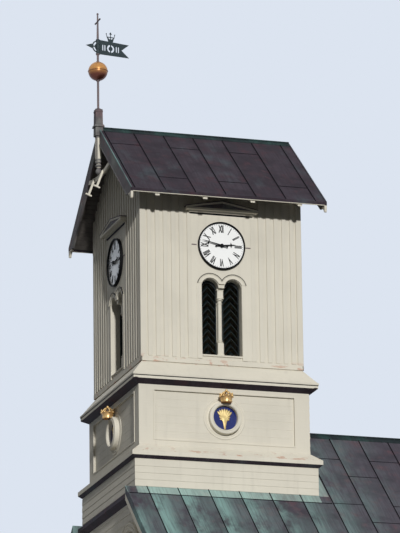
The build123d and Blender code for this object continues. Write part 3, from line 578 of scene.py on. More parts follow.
def make_finishes():
    """Every finish of the tower, by the name of the real material."""
    timber = bpy.context.scene.tower_timber
    copper = bpy.context.scene.tower_copper
    brown, patina = tuple(copper.brown), tuple(copper.patina)
    paint, bare = tuple(timber.paint), tuple(timber.bare_wood)
    painted_timber("oil_painted_upright_boards", paint, bare, (1, 1, 40))
    painted_timber("oil_painted_level_boards", paint, bare, (40, 40, 1))
    planed = [min(1.0, part * 1.03) for part in paint]
    painted_timber("oil_painted_planed_joinery", planed, bare, (6, 6, 3))
    # Soffit boards have a dark smoke-grey paint that stands for the shade under the eaves: painted
    # shade
    painted_timber("shade_grey_soffit_boards", linear("625D58"), linear("50484A"),
                   (40, 1, 1))
    # Copper on the tower is still brown; the older nave sheets are half green by the tower
    sheet_copper("brown_sheet_copper", brown, linear("4C585C"), (0.5, 0.85), TOWER_SEAM)
    sheet_copper("half_green_sheet_copper", linear("4C474F"), linear("86A8A2"), (0.3, 0.56),
                 NAVE_SEAM, fade=(2.0, 7.5), streaky=0.75)
    sheet_copper("green_sheet_copper", linear("7E8482"), patina, (0.2, 0.5), NAVE_SEAM,
                 fade=(3.5, 7.0), streaky=0.3)
    sheet_copper("dark_green_sheet_copper", linear("20282A"), linear("34504B"), (0.4, 0.7),
                 TOWER_SEAM)
    # Copper on the post, the bargeboards and the hoods is streaked grey by the wet timber under it;
    # on the bargeboards this light grey is also painted light, for the sky light on their west faces
    sheet_copper("streaked_sky_lit_copper_cladding", linear("6C6769"), linear("8E918A"), (0.45, 0.7),
                 TOWER_SEAM)
    # Seams, laps and the small flashings are near-black copper: painted shade for the dark lines
    # along each fold
    coated_metal("shade_black_copper_folds", linear("141317"), 0.7, specular=0.06,
                 worn=linear("2C2E32"), patch_mm=60)
    # Louvre boards have a thick dark green gloss paint that the weather has dulled
    coated_metal("dark_green_louvre_paint", linear("0E1716"), 0.5, specular=0.12,
                 worn=linear("1C2827"))
    # Vitreous enamel on sheet iron: hard, white and glossy, with a little street dust
    shader = coated_metal(
        "white_vitreous_enamel", tuple(bpy.context.scene.tower_clock.enamel), 0.3,
        worn=linear("F2F1EE"), patch_mm=160, share=(0.6, 0.8), fade=0.98)
    shader.inputs["Coat Weight"].default_value = 0.2
    # Blue enamel, fired the same way, with a thin clear coat
    shader = coated_metal("blue_vitreous_enamel", linear("0E1E66"), 0.12, worn=linear("182C74"),
                          patch_mm=60)
    shader.inputs["Coat Weight"].default_value = 0.1
    # Stove-baked black paint on sheet iron, dulled outdoors
    coated_metal("black_stoved_paint", linear("0A0A0C"), 0.6, specular=0.1,
                 worn=linear("1E1D1C"), patch_mm=30)
    # Wrought iron with a black-green skin of old paint
    coated_metal("painted_wrought_iron", linear("1C2B2E"), 0.6, metallic=0.2,
                 worn=linear("2E3B3A"), patch_mm=25, share=(0.52, 0.66))
    # Bare wrought iron with a tight skin of rust, bleached grey by the weather
    coated_metal("rusted_wrought_iron", linear("766A6C"), 0.75, metallic=0.1,
                 worn=linear("80695F"), patch_mm=40, share=(0.52, 0.66))
    # Leaf gold on copper: warm and satin, the copper shows where the leaf is rubbed; the lower half
    # is painted dark as shade
    coated_metal("leaf_gold", linear("C88E4E"), 0.32, metallic=0.6, worn=linear("9C6440"),
                 patch_mm=55, share=(0.55, 0.75), painted_underside_shade=linear("6A3A2C"))
    # Burnished leaf on cast crowns: pale and bright, with the undersides painted brown as shade
    coated_metal("burnished_leaf_gold", linear("F0CA86"), 0.36, metallic=0.45,
                 worn=linear("CC8C48"), patch_mm=40, share=(0.55, 0.75), painted_underside_shade=linear("7A4C22"))
    # Pale leaf on carved wood: fresh, matt and yellow, with the undersides painted darker as shade
    coated_metal("pale_leaf_gold", linear("DCC688"), 0.45, metallic=0.35, worn=linear("C8A468"),
                 patch_mm=30, share=(0.55, 0.75), painted_underside_shade=linear("9A7A40"))
    # Old drawn glass: dark from the room behind it, with slow waves in the sheet
    tree, shader, place = new_finish("old_window_glass", 0.06)
    waves = patches(tree, place, 180, (0.2, 0.8))
    lay_coats(tree, shader, linear("20272A"), [(waves, linear("2A3134"))], waves, 1.5)
    # Bare sawn floorboards, grey-brown and dusty
    tree, shader, place = new_finish("sawn_floorboards", 0.8)
    grain = patches(tree, place, 14, (0.3, 0.7), stretch=(30, 1, 1))
    lay_coats(tree, shader, linear("74604A"), [(grain, linear("8C785E"))], grain, 1.0)
    # Seamless studio floor, with a faint grain so that shadows have something to fall on
    tree, shader, place = new_finish("pale_studio_floor", 0.9)
    floor_colour = tuple(bpy.context.scene.tower_stage.floor_colour)
    speckle = patches(tree, place, 30, (0.3, 0.7))
    lay_coats(tree, shader, floor_colour, [(speckle, [p * 0.985 for p in floor_colour])],
              speckle, 0.1)


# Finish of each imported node, found by the start of its name
NODE_FINISHES = {
    "belfry_wall": "oil_painted_upright_boards",
    "base_wall": "oil_painted_level_boards",
    "panel_wall": "oil_painted_level_boards",
    "front_gable": "oil_painted_level_boards",
    "nave_end": "oil_painted_upright_boards",
    "lower_water": "oil_painted_planed_joinery",
    "upper_water": "oil_painted_planed_joinery",
    "front_cornice": "oil_painted_planed_joinery",
    "raking_cornices": "oil_painted_planed_joinery",
    "arch_surrounds": "oil_painted_planed_joinery",
    "colonnettes": "oil_painted_planed_joinery",
    "clock_hoods": "oil_painted_planed_joinery",
    "clock_panels": "oil_painted_planed_joinery",
    "eave_": "oil_painted_planed_joinery",
    "gable_truss": "oil_painted_planed_joinery",
    "medallion_rings": "oil_painted_planed_joinery",
    "round_window_frames": "oil_painted_planed_joinery",
    "round_window_panes": "old_window_glass",
    "tower_roof": "brown_sheet_copper",
    # The bargeboards take the light grey copper as painted light on their west faces
    "bargeboards": "streaked_sky_lit_copper_cladding",
    "nave_roof": "half_green_sheet_copper",
    "nave_ridge_cap": "dark_green_sheet_copper",
    "tower_ridge_cap": "dark_green_sheet_copper",
    "apron_flashings": "green_sheet_copper",
    "finial_post": "streaked_sky_lit_copper_cladding",
    "louvres": "dark_green_louvre_paint",
    "clock_dials": "white_vitreous_enamel",
    "dial_rims": "black_stoved_paint",
    "minute_hand": "black_stoved_paint",
    "hour_hand": "black_stoved_paint",
    "medallion_discs": "blue_vitreous_enamel",
    "medallion_crests": "burnished_leaf_gold",
    "gilt_ball": "leaf_gold",
    "spire_rod": "rusted_wrought_iron",
    "weathervane": "painted_wrought_iron",
    "belfry_floor": "sawn_floorboards",
}

# The photograph's camera, in metres and degrees
CAMERA_PLACE = (-30.982, -106.08, -21.431)
CAMERA_HEADING = math.radians(17.494)
CAMERA_RISE = math.radians(15.699)
CAMERA_ROLL = math.radians(-0.772)
CAMERA_LENS = 290.7
SENSOR_WIDTH = 36

# Where the sun comes from, left of straight ahead, and how wide each light is
KEY_HEADING = math.radians(-6.5)
KEY_SPREAD = math.radians(3)
TOP_SPREAD = 2.0


class TOWER_OT_stage(bpy.types.Operator):
    """Set up the camera, the pale floor, the backdrop and the soft light."""

    bl_idname = "tower.stage"
    bl_label = "Stage"

    def execute(self, context):
        stage = context.scene.tower_stage
        context.scene.view_settings.view_transform = "Standard"

        # The camera stands low in front of the tower's left side and looks up at it
        along = Vector((math.sin(CAMERA_HEADING) * math.cos(CAMERA_RISE),
                        math.cos(CAMERA_HEADING) * math.cos(CAMERA_RISE),
                        math.sin(CAMERA_RISE)))
        sideways = Vector((math.cos(CAMERA_HEADING), -math.sin(CAMERA_HEADING), 0))
        upright = sideways.cross(along)
        right = sideways * math.cos(CAMERA_ROLL) + upright * math.sin(CAMERA_ROLL)
        up = right.cross(along)
        turn = Matrix((right, up, -along)).transposed()
        bpy.ops.object.camera_add(location=CAMERA_PLACE, rotation=turn.to_euler())
        camera = context.object
        camera.name = "photo_camera"
        camera.data.sensor_fit = "AUTO"
        camera.data.sensor_width = SENSOR_WIDTH
        camera.data.lens = CAMERA_LENS
        camera.data.clip_end = 1000
        context.scene.camera = camera

        # The key light comes from the front, low enough to reach in under the eaves
        bpy.ops.object.light_add(type="SUN", location=(TOWER_X, -30, 20))
        key = context.object
        key.name = "key_light"
        key.rotation_euler = (math.pi / 2 - stage.key_height, 0, KEY_HEADING)
        key.data.energy = stage.key_strength
        key.data.angle = KEY_SPREAD

        # A wide soft light from overhead reaches all that the sky would reach
        bpy.ops.object.light_add(type="SUN", location=(TOWER_X, 0, 30))
        top = context.object
        top.name = "top_light"
        top.data.energy = stage.top_strength
        top.data.angle = TOP_SPREAD

        world = bpy.data.worlds.new("pale_backdrop")
        context.scene.world = world
        world.use_nodes = True
        tree = world.node_tree
        fill = tree.nodes["Background"]
        fill.inputs["Color"].default_value = opaque(linear("F0F4FA"))
        towards = add_node(tree, "TexCoord").outputs["Generated"]
        rise = add_node(tree, "SeparateXYZ", {"Vector": towards})
        strength = add_node(tree, "MapRange", {
            "Value": rise.outputs["Z"], "From Min": -0.15, "From Max": 0.15,
            "To Min": stage.fill_below, "To Max": stage.fill_above})
        tree.links.new(strength.outputs["Result"], fill.inputs["Strength"])
        # Rays from the camera, and those that metal and glass send on, see the backdrop
        shown = add_node(tree, "Background", {
            "Color": opaque(stage.backdrop_colour), "Strength": 1.0})
        ray = add_node(tree, "LightPath").outputs
        seen = add_node(tree, "Math", {0: ray["Is Camera Ray"], 1: ray["Is Glossy Ray"]},
                        operation="MAXIMUM")
        through = add_node(tree, "Math", {0: seen.outputs[0], 1: ray["Is Transmission Ray"]},
                           operation="MAXIMUM")
        both = add_node(tree, "MixShader", {
            0: through.outputs[0], 1: fill.outputs[0], 2: shown.outputs[0]})
        tree.links.new(both.outputs[0], tree.nodes["World Output"].inputs["Surface"])

        # The floor is a low disc with a rounded rim
        depth, rim = 0.06, 0.02
        radius = stage.floor_radius
        floor = turned([(0, 0), (radius - rim, 0), (radius, -rim), (radius, -depth), (0, -depth)],
                       ((NAVE_FRONT + NAVE_REAR) / 2, 0, 0), steps=96)
        floor.name = "studio_floor"
        floor.data.materials.append(bpy.data.materials["pale_studio_floor"])
        return {"FINISHED"}


class TOWER_OT_finishes(bpy.types.Operator):
    """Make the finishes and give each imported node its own."""

    bl_idname = "tower.finishes"
    bl_label = "Finishes"

    def execute(self, context):
        make_finishes()
        for name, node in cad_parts.items():
            start = next(key for key in NODE_FINISHES if name.startswith(key))
            node.data.materials.clear()
            node.data.materials.append(bpy.data.materials[NODE_FINISHES[start]])
        return {"FINISHED"}


class TOWER_OT_belfry_cladding(bpy.types.Operator):
    """Nail upright cover boards, plinth boards and corner posts onto the belfry."""

    bl_idname = "tower.belfry_cladding"
    bl_label = "Belfry cladding"

    def execute(self, context):
        timber = context.scene.tower_timber
        depth, width, pitch = timber.board_depth, timber.board_width, timber.board_pitch
        foot = BELFRY_FOOT + PLINTH_HEIGHT
        outermost = BELFRY_HALF - 0.229

        def cover_row(place, count, low, high):
            one = board((TOWER_X + place - width / 2, -BELFRY_HALF - depth, low),
                        (TOWER_X + place + width / 2, -BELFRY_HALF + SEAT, high), ease=0.006)
            return row_of(one, count, (pitch, 0, 0))

        # Five boards stand at each corner, one beside each end of the hood, and nine over it
        for sides, top in (
                (("south", "north"), self.soffit(depth)), (("west", "east"), TOWER_RIDGE)):
            cladding = joined(
                cover_row(-outermost, 5, foot, top),
                cover_row(outermost - 4 * pitch, 5, foot, top),
                cover_row(-4 * pitch, 1, foot, HOOD_FOOT - 0.03),
                cover_row(4 * pitch, 1, foot, HOOD_FOOT - 0.03),
                cover_row(-4 * pitch, 9, HOOD_FOOT + 0.04, top))
            if top == TOWER_RIDGE:
                under = (TOWER_X, 0, TOWER_RIDGE - SLAB_DROP)
                for hand in (-1, 1):
                    slope = (hand * math.sin(TOWER_PITCH), 0, math.cos(TOWER_PITCH))
                    saw(cladding, under, slope)
            plinth = moulding(
                [(-SEAT, 0), (PLINTH_FRONT, 0), (PLINTH_FRONT, 0.125), (0.014, PLINTH_HEIGHT),
                 (-SEAT, PLINTH_HEIGHT)],
                (2 * (BELFRY_HALF + PLINTH_FRONT), 0, 0),
                start=(TOWER_X - BELFRY_HALF - PLINTH_FRONT, -BELFRY_HALF, BELFRY_FOOT))
            dress_sides(joined(cladding, plinth), "belfry_cladding", *UPRIGHT_BOARDS, sides=sides)

        west, out, into = TOWER_X - BELFRY_HALF, 0.034, 0.12
        post = board((west - out, -BELFRY_HALF - out, BELFRY_FOOT),
                     (west + into, -BELFRY_HALF + into, self.soffit(out)), ease=0.006)
        dress_sides(post, "belfry_corner_post", *UPRIGHT_BOARDS)
        return {"FINISHED"}

    def soffit(self, depth):
        """Height of the roof's underside just outside the belfry wall."""
        return TOWER_RIDGE - SLAB_DROP - (BELFRY_HALF + depth) * TOWER_TAN


class TOWER_OT_level_siding(bpy.types.Operator):
    """Nail level siding onto the base stage, and into the sunk panels of the stage above."""

    bl_idname = "tower.level_siding"
    bl_label = "Level siding"

    def execute(self, context):
        # Base stage: bevelled siding over the front cornice. One end laps the next side's
        rows, lap = 4, 0.0155
        foot = FACADE_TOP + 0.012
        height = (BASE_TOP - FACADE_TOP - 0.012) / rows
        siding = moulding(bevelled_boards(rows, height), (2 * BASE_HALF + lap, 0, 0),
                          start=(TOWER_X - BASE_HALF - lap, -BASE_HALF, foot))
        dress_sides(siding, "base_siding", *LEVEL_BOARDS, sides=MEDALLION_SIDES)

        # Panel stage: flush boards in the sunk panel, and a frame of stiles and rails round it
        front = -PANEL_HALF
        rows, thick = 6, 0.012
        height = (SUNK_TOP - SUNK_FOOT) / rows
        parts = [row_of(board(
            (TOWER_X - SUNK_HALF, front + SUNK_DEPTH - thick, SUNK_FOOT),
            (TOWER_X + SUNK_HALF, front + SUNK_DEPTH + SEAT, SUNK_FOOT + height), ease=0.003),
            rows, (0, 0, height))]
        # The left stile laps the right one of the next side
        parts += self.rectangle((PANEL_HALF + 0.0125, PANEL_HALF), PANEL_FOOT - 0.02, PANEL_TOP,
                                front - thick, front + SEAT)
        # A crisp fillet stands round the sunk panel
        fillet, proud = 0.036, 0.026
        parts += self.rectangle((SUNK_HALF + fillet, SUNK_HALF + fillet), SUNK_FOOT - fillet,
                                SUNK_TOP + fillet, front - proud, front)
        dress_sides(joined(*parts), "panel_joinery", *LEVEL_BOARDS, sides=MEDALLION_SIDES)

        # The east face has siding down to the nave roof
        rows = 8
        height = (PANEL_TOP - PANEL_FOOT) / rows
        plain = moulding(bevelled_boards(rows, height), (2 * PANEL_HALF, 0, 0),
                         start=(TOWER_X - PANEL_HALF, front, PANEL_FOOT))
        dress_sides(plain, "panel_siding", *LEVEL_BOARDS, sides=("east",))
        return {"FINISHED"}

    def rectangle(self, edges, foot, top, front, back):
        """Two stiles out to these edges, left and right, and two rails round the sunk panel."""
        parts = [beside(hand, SUNK_HALF, edge, front, back, foot, top, ease=0.002)
                 for hand, edge in zip((-1, 1), edges)]
        for low, high in ((foot, SUNK_FOOT), (SUNK_TOP, top)):
            parts.append(board((TOWER_X - SUNK_HALF, front, low),
                               (TOWER_X + SUNK_HALF, back, high), ease=0.002))
        return parts


class TOWER_OT_water_tables(bpy.types.Operator):
    """Line the coves under the water tables and the front cornice dark, and put a strip of painted
    shade under the upper drip.
    """

    bl_idname = "tower.water_tables"
    bl_label = "Water tables"

    def execute(self, context):
        # A dark brown copper lining fills each cove, from the wall out to the drip, so the band under
        # each drip is dark
        reach, bed = 0.105, 0.095
        lower = self.mitred(
            [(-SEAT, 0.02), (0.02, 0.02), (reach - 0.006, bed - 0.004),
             (reach - 0.006, bed + 0.004), (-SEAT, bed + 0.004)], BASE_HALF, BASE_TOP, reach)
        dress_sides(lower, "lower_cove_lining", *BROWN_COPPER, sides=MEDALLION_SIDES)
        reach, bed = 0.2, 0.11
        upper = self.mitred(
            [(-SEAT, -0.004), (0.01, -0.004), (reach - 0.006, bed - 0.006),
             (reach - 0.006, bed + 0.004), (-SEAT, bed + 0.004)], PANEL_HALF, PANEL_TOP, reach)
        dress_sides(upper, "upper_cove_lining", *BROWN_COPPER)
        # The upper drip has a cream lip, and under it a near-black copper strip, painted shade for
        # the shadow line below the lip
        half, level = PANEL_HALF + reach, PANEL_TOP + 0.25
        lip = self.mitred(
            [(-SEAT, -0.05), (0.01, -0.05), (0.016, -0.02), (0.014, 0.0), (-SEAT, 0.01)],
            half, level, 0.02)
        dress_sides(lip, "drip_lip", "oil_painted_planed_joinery", "painted_moulding")
        strip = self.mitred([(-SEAT, -0.072), (0.005, -0.072), (0.005, -0.052), (-SEAT, -0.052)],
                            half, level, 0.01)
        dress_sides(strip, "drip_shadow_strip", *SHADE_BLACK_COPPER)

        # The front cornice is lined with dark copper along the front gable's head, so the cornice is
        # dark
        low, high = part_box("front_cornice")
        lining = moulding(
            [(-SEAT, 0.004), (0.134, -0.098), (0.134, -0.196), (0.006, -0.335), (-SEAT, -0.335)],
            (0, high.y - low.y, 0), start=(FRONT_X, low.y, FACADE_TOP), across=(-1, 0, 0))
        dress(lining, "front_cornice_lining", *BROWN_COPPER)
        return {"FINISHED"}

    def mitred(self, section, half, level, reach):
        """A moulding along the south side of the tower, mitred at both corners."""
        start = (TOWER_X - half - reach, -half, level)
        side = moulding(section, (2 * (half + reach), 0, 0), start=start)
        for hand in (-1, 1):
            saw(side, (TOWER_X, 0, level), (hand, 1, 0))
        return side


class TOWER_OT_medallions(bpy.types.Operator):
    """Turn the medallions' collars and beads, and fix a palmette and a coronet to each."""

    bl_idname = "tower.medallions"
    bl_label = "Medallions"

    def execute(self, context):
        back = -PANEL_HALF + SUNK_DEPTH
        outwards = (0, -1, 0)
        # A tall collar stands inside a low flange, with a bead round each
        collar = turned(
            [(0.33, 0.0), (0.33, 0.13), (0.338, 0.15), (0.352, 0.158), (0.415, 0.158),
             (0.432, 0.15), (0.44, 0.13), (0.44, 0.03), (0.45, 0.022), (0.53, 0.022),
             (0.545, 0.03), (0.56, 0.028), (0.57, 0.018), (0.57, 0.0)],
            (TOWER_X, back, MEDALLION_LEVEL), outwards, steps=96)
        collars = joined(*[copy_of(collar, side_turn(side)) for side in MEDALLION_SIDES])
        bpy.data.objects.remove(collar)
        dress(collars, "medallion_collars", *JOINERY, smooth=30)
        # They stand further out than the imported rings, as the photograph's do
        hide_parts("medallion_rings")
        beads = [turned(rounded(size, out, centre=radius), (TOWER_X, back, MEDALLION_LEVEL),
                        outwards, steps=64)
                 for radius, out, size in ((0.36, 0.158, 0.01), (0.5, 0.022, 0.008))]
        dress_sides(joined(*beads), "medallion_beads", *JOINERY, sides=MEDALLION_SIDES,
                    smooth=50)

        # A palmette: long leaves fan out over two short ones on each side of a tapered stem
        disc = back - 0.035
        fan_level = MEDALLION_LEVEL - 0.04
        leaves = [(angle, 0.302 - 0.0002 * abs(angle), 0.038) for angle in range(-42, 43, 14)]
        leaves += [(hand * angle, reach, 0.03) for hand in (-1, 1)
                   for angle, reach in ((62, 0.17), (86, 0.135))]
        parts = []
        for lean, reach, half_width in leaves:
            bpy.ops.object.select_all(action="DESELECT")
            bpy.ops.mesh.primitive_uv_sphere_add(segments=12, ring_count=8, radius=1)
            leaf = bpy.context.object
            leaf.scale = (half_width, 0.018, (reach - 0.01) / 2)
            saw(settle(leaf), (0, SEAT, 0), (0, 1, 0))
            swing = (Matrix.Translation((TOWER_X, disc, fan_level))
                     @ Matrix.Rotation(math.radians(lean), 4, "Y")
                     @ Matrix.Translation((0, 0, (reach + 0.01) / 2)))
            parts.append(settle(leaf, swing))
        half_stem = [(0.024, -0.26), (0.032, -0.16), (0.052, -0.06), (0.086, 0.02), (0.08, 0.06)]
        outline = half_stem + [(-place, level) for place, level in reversed(half_stem)]
        stem = moulding(outline, (0, -0.016, 0), start=(TOWER_X, disc, fan_level),
                        across=(1, 0, 0))
        edit(stem)
        bpy.ops.mesh.bevel(offset=0.005, segments=2, affect="EDGES")
        parts.append(close_edit())
        dress_sides(joined(*parts), "gilt_palmette", "pale_leaf_gold", "gilding",
                    sides=MEDALLION_SIDES, smooth=40)

        # The coronet: a flared band with eight spikes and orbs, under hoops with a top orb
        axis = Vector((TOWER_X, back - 0.215, MEDALLION_LEVEL + 0.385))
        band = turned([(0.112, 0.0), (0.13, 0.0), (0.134, 0.03), (0.128, 0.05), (0.164, 0.135),
                       (0.156, 0.138), (0.116, 0.05)], axis, steps=40)
        crown = [band, self.orb(axis + Vector((0, 0, 0.262)), 0.034)]
        hoop = joined(
            turned(rounded(0.014, centre=0.14), axis + Vector((0, 0, 0.105)), (-1, 0, 0), steps=8,
                   first=(0, -1, 0), angle=88),
            turned([(0, 0), (0.03, 0), (0.02, 0.03), (0.008, 0.055), (0, 0.06)],
                   axis + Vector((0, -0.16, 0.115)), steps=10),
            self.orb(axis + Vector((0, -0.16, 0.178)), 0.024),
            self.orb(axis + Vector((0, -0.134, 0.026)), 0.015))
        middle = Matrix.Translation(axis)
        for number in range(8):
            turn = Matrix.Rotation(number * math.pi / 4, 4, "Z")
            crown.append(copy_of(hoop, middle @ turn @ middle.inverted()))
        bpy.data.objects.remove(hoop)
        taller = Matrix.Diagonal((1.06, 1.06, 1.2, 1))
        whole = settle(joined(*crown), middle @ taller @ middle.inverted())
        dress_sides(whole, "coronet", "burnished_leaf_gold", "gilding", sides=MEDALLION_SIDES,
                    smooth=50)
        return {"FINISHED"}

    def orb(self, place, radius):
        """A small turned orb, a little drawn in at its foot."""
        section = [(0, -radius), (radius * 0.5, -radius * 0.9), (radius * 0.95, -radius * 0.2),
                   (radius * 0.86, radius * 0.45), (radius * 0.45, radius * 0.86), (0, radius)]
        return turned(section, place, steps=12)


class TOWER_OT_light_trims(bpy.types.Operator):
    """Fit sills, architraves, arched boards, beads and folds round the twin lights."""

    bl_idname = "tower.light_trims"
    bl_label = "Light trims"

    def execute(self, context):
        front, foot = -BELFRY_HALF, BELFRY_FOOT + PLINTH_HEIGHT
        half = LIGHT_PLACE + LIGHT_RADIUS
        parts = [moulding(
            [(-SEAT, 0), (0.03, 0), (0.034, 0.008), (0.03, 0.03), (-SEAT, 0.05)],
            (2 * half + 0.06, 0, 0), start=(TOWER_X - half - 0.03, front, LIGHT_SILL - 0.052))]
        parts += [beside(hand, half + 0.004, half + 0.14, front - 0.036, front + SEAT, foot,
                         LIGHT_SPRING + SURROUND_FOOT, ease=0.003) for hand in (-1, 1)]
        # A flat board with two arches cut in it carries the clock board down to the plinth
        radius = SURROUND_RADIUS - 0.02
        inner, outer = half + SEAT, CLOCK_PANEL_HALF - 0.04
        start = math.acos((inner - LIGHT_PLACE) / radius)
        end = math.pi - math.acos(LIGHT_PLACE / radius)
        turns = [start + (end - start) * step / 24 for step in range(25)]
        right = [(outer, CLOCK_PANEL_FOOT), (outer, foot), (inner, foot)]
        right += [(LIGHT_PLACE + radius * math.cos(turn), LIGHT_SPRING + radius * math.sin(turn))
                  for turn in turns]
        left = [(-place, level) for place, level in reversed(right[:-1])]
        parts.append(moulding(right + left, (0, -CLOCK_PANEL_FRONT - SEAT, 0),
                              start=(TOWER_X, front + SEAT, 0), across=(1, 0, 0)))
        # The hood bead over each arch stops where the two arches meet
        folds = []
        outer_start = math.degrees(math.asin(SURROUND_FOOT / SURROUND_RADIUS))
        inner_end = 180 - math.degrees(math.acos(LIGHT_PLACE / SURROUND_RADIUS))
        for hand, start in ((1, outer_start), (-1, 180 - inner_end)):
            middle = (TOWER_X + hand * LIGHT_PLACE, front - SURROUND_FRONT, LIGHT_SPRING)
            first = (math.cos(math.radians(start)), 0, math.sin(math.radians(start)))
            section = rounded(0.016, 0.002, sides=6, centre=SURROUND_RADIUS - 0.008)
            parts.append(turned(section, middle, (0, -1, 0), steps=28, first=first,
                                angle=inner_end - outer_start))
            # A thin near-black sheet is folded down over the bead, as painted shade for the dark line
            # along the arch
            fold = [(SURROUND_RADIUS - SEAT, -0.01), (SURROUND_RADIUS + 0.012, -0.01),
                    (SURROUND_RADIUS + 0.013, 0.021), (SURROUND_RADIUS - 0.004, 0.021)]
            folds.append(turned(fold, middle, (0, -1, 0), steps=28, first=first,
                                angle=inner_end - outer_start))
        dress_sides(joined(*parts), "light_trims", *JOINERY, smooth=40)
        dress_sides(joined(*folds), "arch_shadow_flashings", *SHADE_BLACK_COPPER, smooth=40)

        # Turned rings on the colonnettes' shafts, and square blocks at their ends
        column = -BELFRY_HALF + COLUMN_BACK
        shaft_top = LIGHT_SPRING - 0.27
        rings = [turned(rounded(0.011, centre=radius), (TOWER_X, column, level), steps=28)
                 for level, radius in ((shaft_top - 0.03, 0.084), (shaft_top - 0.12, 0.062),
                                       (LIGHT_SILL + 0.385, 0.084), (LIGHT_SILL + 0.43, 0.062))]
        for low, high, out in ((shaft_top, shaft_top + 0.03, 0.016),
                               (LIGHT_SPRING - 0.05, LIGHT_SPRING, 0.014),
                               (LIGHT_SILL, LIGHT_SILL + 0.06, 0.014)):
            reach = 0.08 + out
            rings.append(board((TOWER_X - reach, column - reach, low),
                               (TOWER_X + reach, column + reach, high), ease=0.008))
        dress_sides(joined(*rings), "colonnette_rings", *JOINERY, smooth=40)
        return {"FINISHED"}


class TOWER_OT_clock_faces(bpy.types.Operator):
    """Set the numerals, the minute marks, the straps and the rim's bead on the clocks."""

    bl_idname = "tower.clock_faces"
    bl_label = "Clock faces"

    def execute(self, context):
        clock = context.scene.tower_clock
        dial = -BELFRY_HALF - DIAL_FRONT
        hours = ("XII", "I", "II", "III", "IV", "V", "VI", "VII", "VIII", "IX", "X", "XI")
        upright = Matrix.Rotation(math.pi / 2, 4, "X")
        marks = []
        for hour, numeral in enumerate(hours):
            bpy.ops.object.select_all(action="DESELECT")
            bpy.ops.object.text_add(location=(0, 0, 0))
            text = bpy.context.object
            text.data.body = numeral
            text.data.align_x = "CENTER"
            text.data.align_y = "CENTER"
            text.data.extrude = 0.0015
            text.data.offset = 0.012
            text.data.size = clock.numeral_height * 1.37
            bpy.ops.object.convert(target="MESH")
            numeral_piece = bpy.context.object
            numeral_piece.scale = (0.42, 1, 1)
            settle(numeral_piece)
            turn = Matrix.Rotation(-math.radians(30 * hour), 4, "Z")
            place = Matrix.Translation((TOWER_X, dial - 0.001, CLOCK_LEVEL))
            marks.append(settle(numeral_piece, place @ upright @ turn
                                @ Matrix.Translation((0, clock.numeral_ring, 0))))
        # A short stroke marks each minute
        stroke = board((-0.004, DIAL_RADIUS - 0.042, -0.001), (0.004, DIAL_RADIUS - 0.016, 0.002),
                       ease=0.0006)
        for minute in range(60):
            turn = Matrix.Rotation(-math.radians(6 * minute), 4, "Z")
            place = Matrix.Translation((TOWER_X, dial, CLOCK_LEVEL))
            marks.append(copy_of(stroke, place @ upright @ turn))
        bpy.data.objects.remove(stroke)
        dress_sides(joined(*marks), "dial_marks", "black_stoved_paint", "clock_hands")

        bead = turned(rounded(0.014, RIM_FRONT, centre=RIM_HALF - 0.012),
                      (TOWER_X, -BELFRY_HALF, CLOCK_LEVEL), (0, -1, 0), steps=72)
        dress_sides(bead, "rim_bead", "black_stoved_paint", "dial_rim", smooth=60)

        # Iron straps cover the joint in the clock board, left and right of the dial
        back, half = -BELFRY_HALF - CLOCK_PANEL_FRONT, 0.014
        straps = [beside(hand, RIM_HALF + 0.03, CLOCK_PANEL_HALF - 0.06, back - 0.012, back,
                         CLOCK_LEVEL - half, CLOCK_LEVEL + half) for hand in (-1, 1)]
        dress_sides(joined(*straps), "clock_straps", *IRON)
        return {"FINISHED"}


class TOWER_OT_hand_caps(bpy.types.Operator):
    """Screw a domed cap on each pair of clock hands; it turns with the minute hand."""

    bl_idname = "tower.hand_caps"
    bl_label = "Hand caps"

    def execute(self, context):
        section = [(0, 0), (0.036, 0), (0.038, 0.006), (0.03, 0.017), (0.016, 0.023), (0, 0.025)]
        cap = turned(section, (TOWER_X, -MINUTE_FRONT, CLOCK_LEVEL), (0, -1, 0), steps=24)
        for side in SIDES:
            dress(copy_of(cap, side_turn(side)), f"hand_cap_{side}", "black_stoved_paint",
                  "clock_hands", body=f"minute_hand_{side}_body", smooth=40)
        bpy.data.objects.remove(cap)
        return {"FINISHED"}


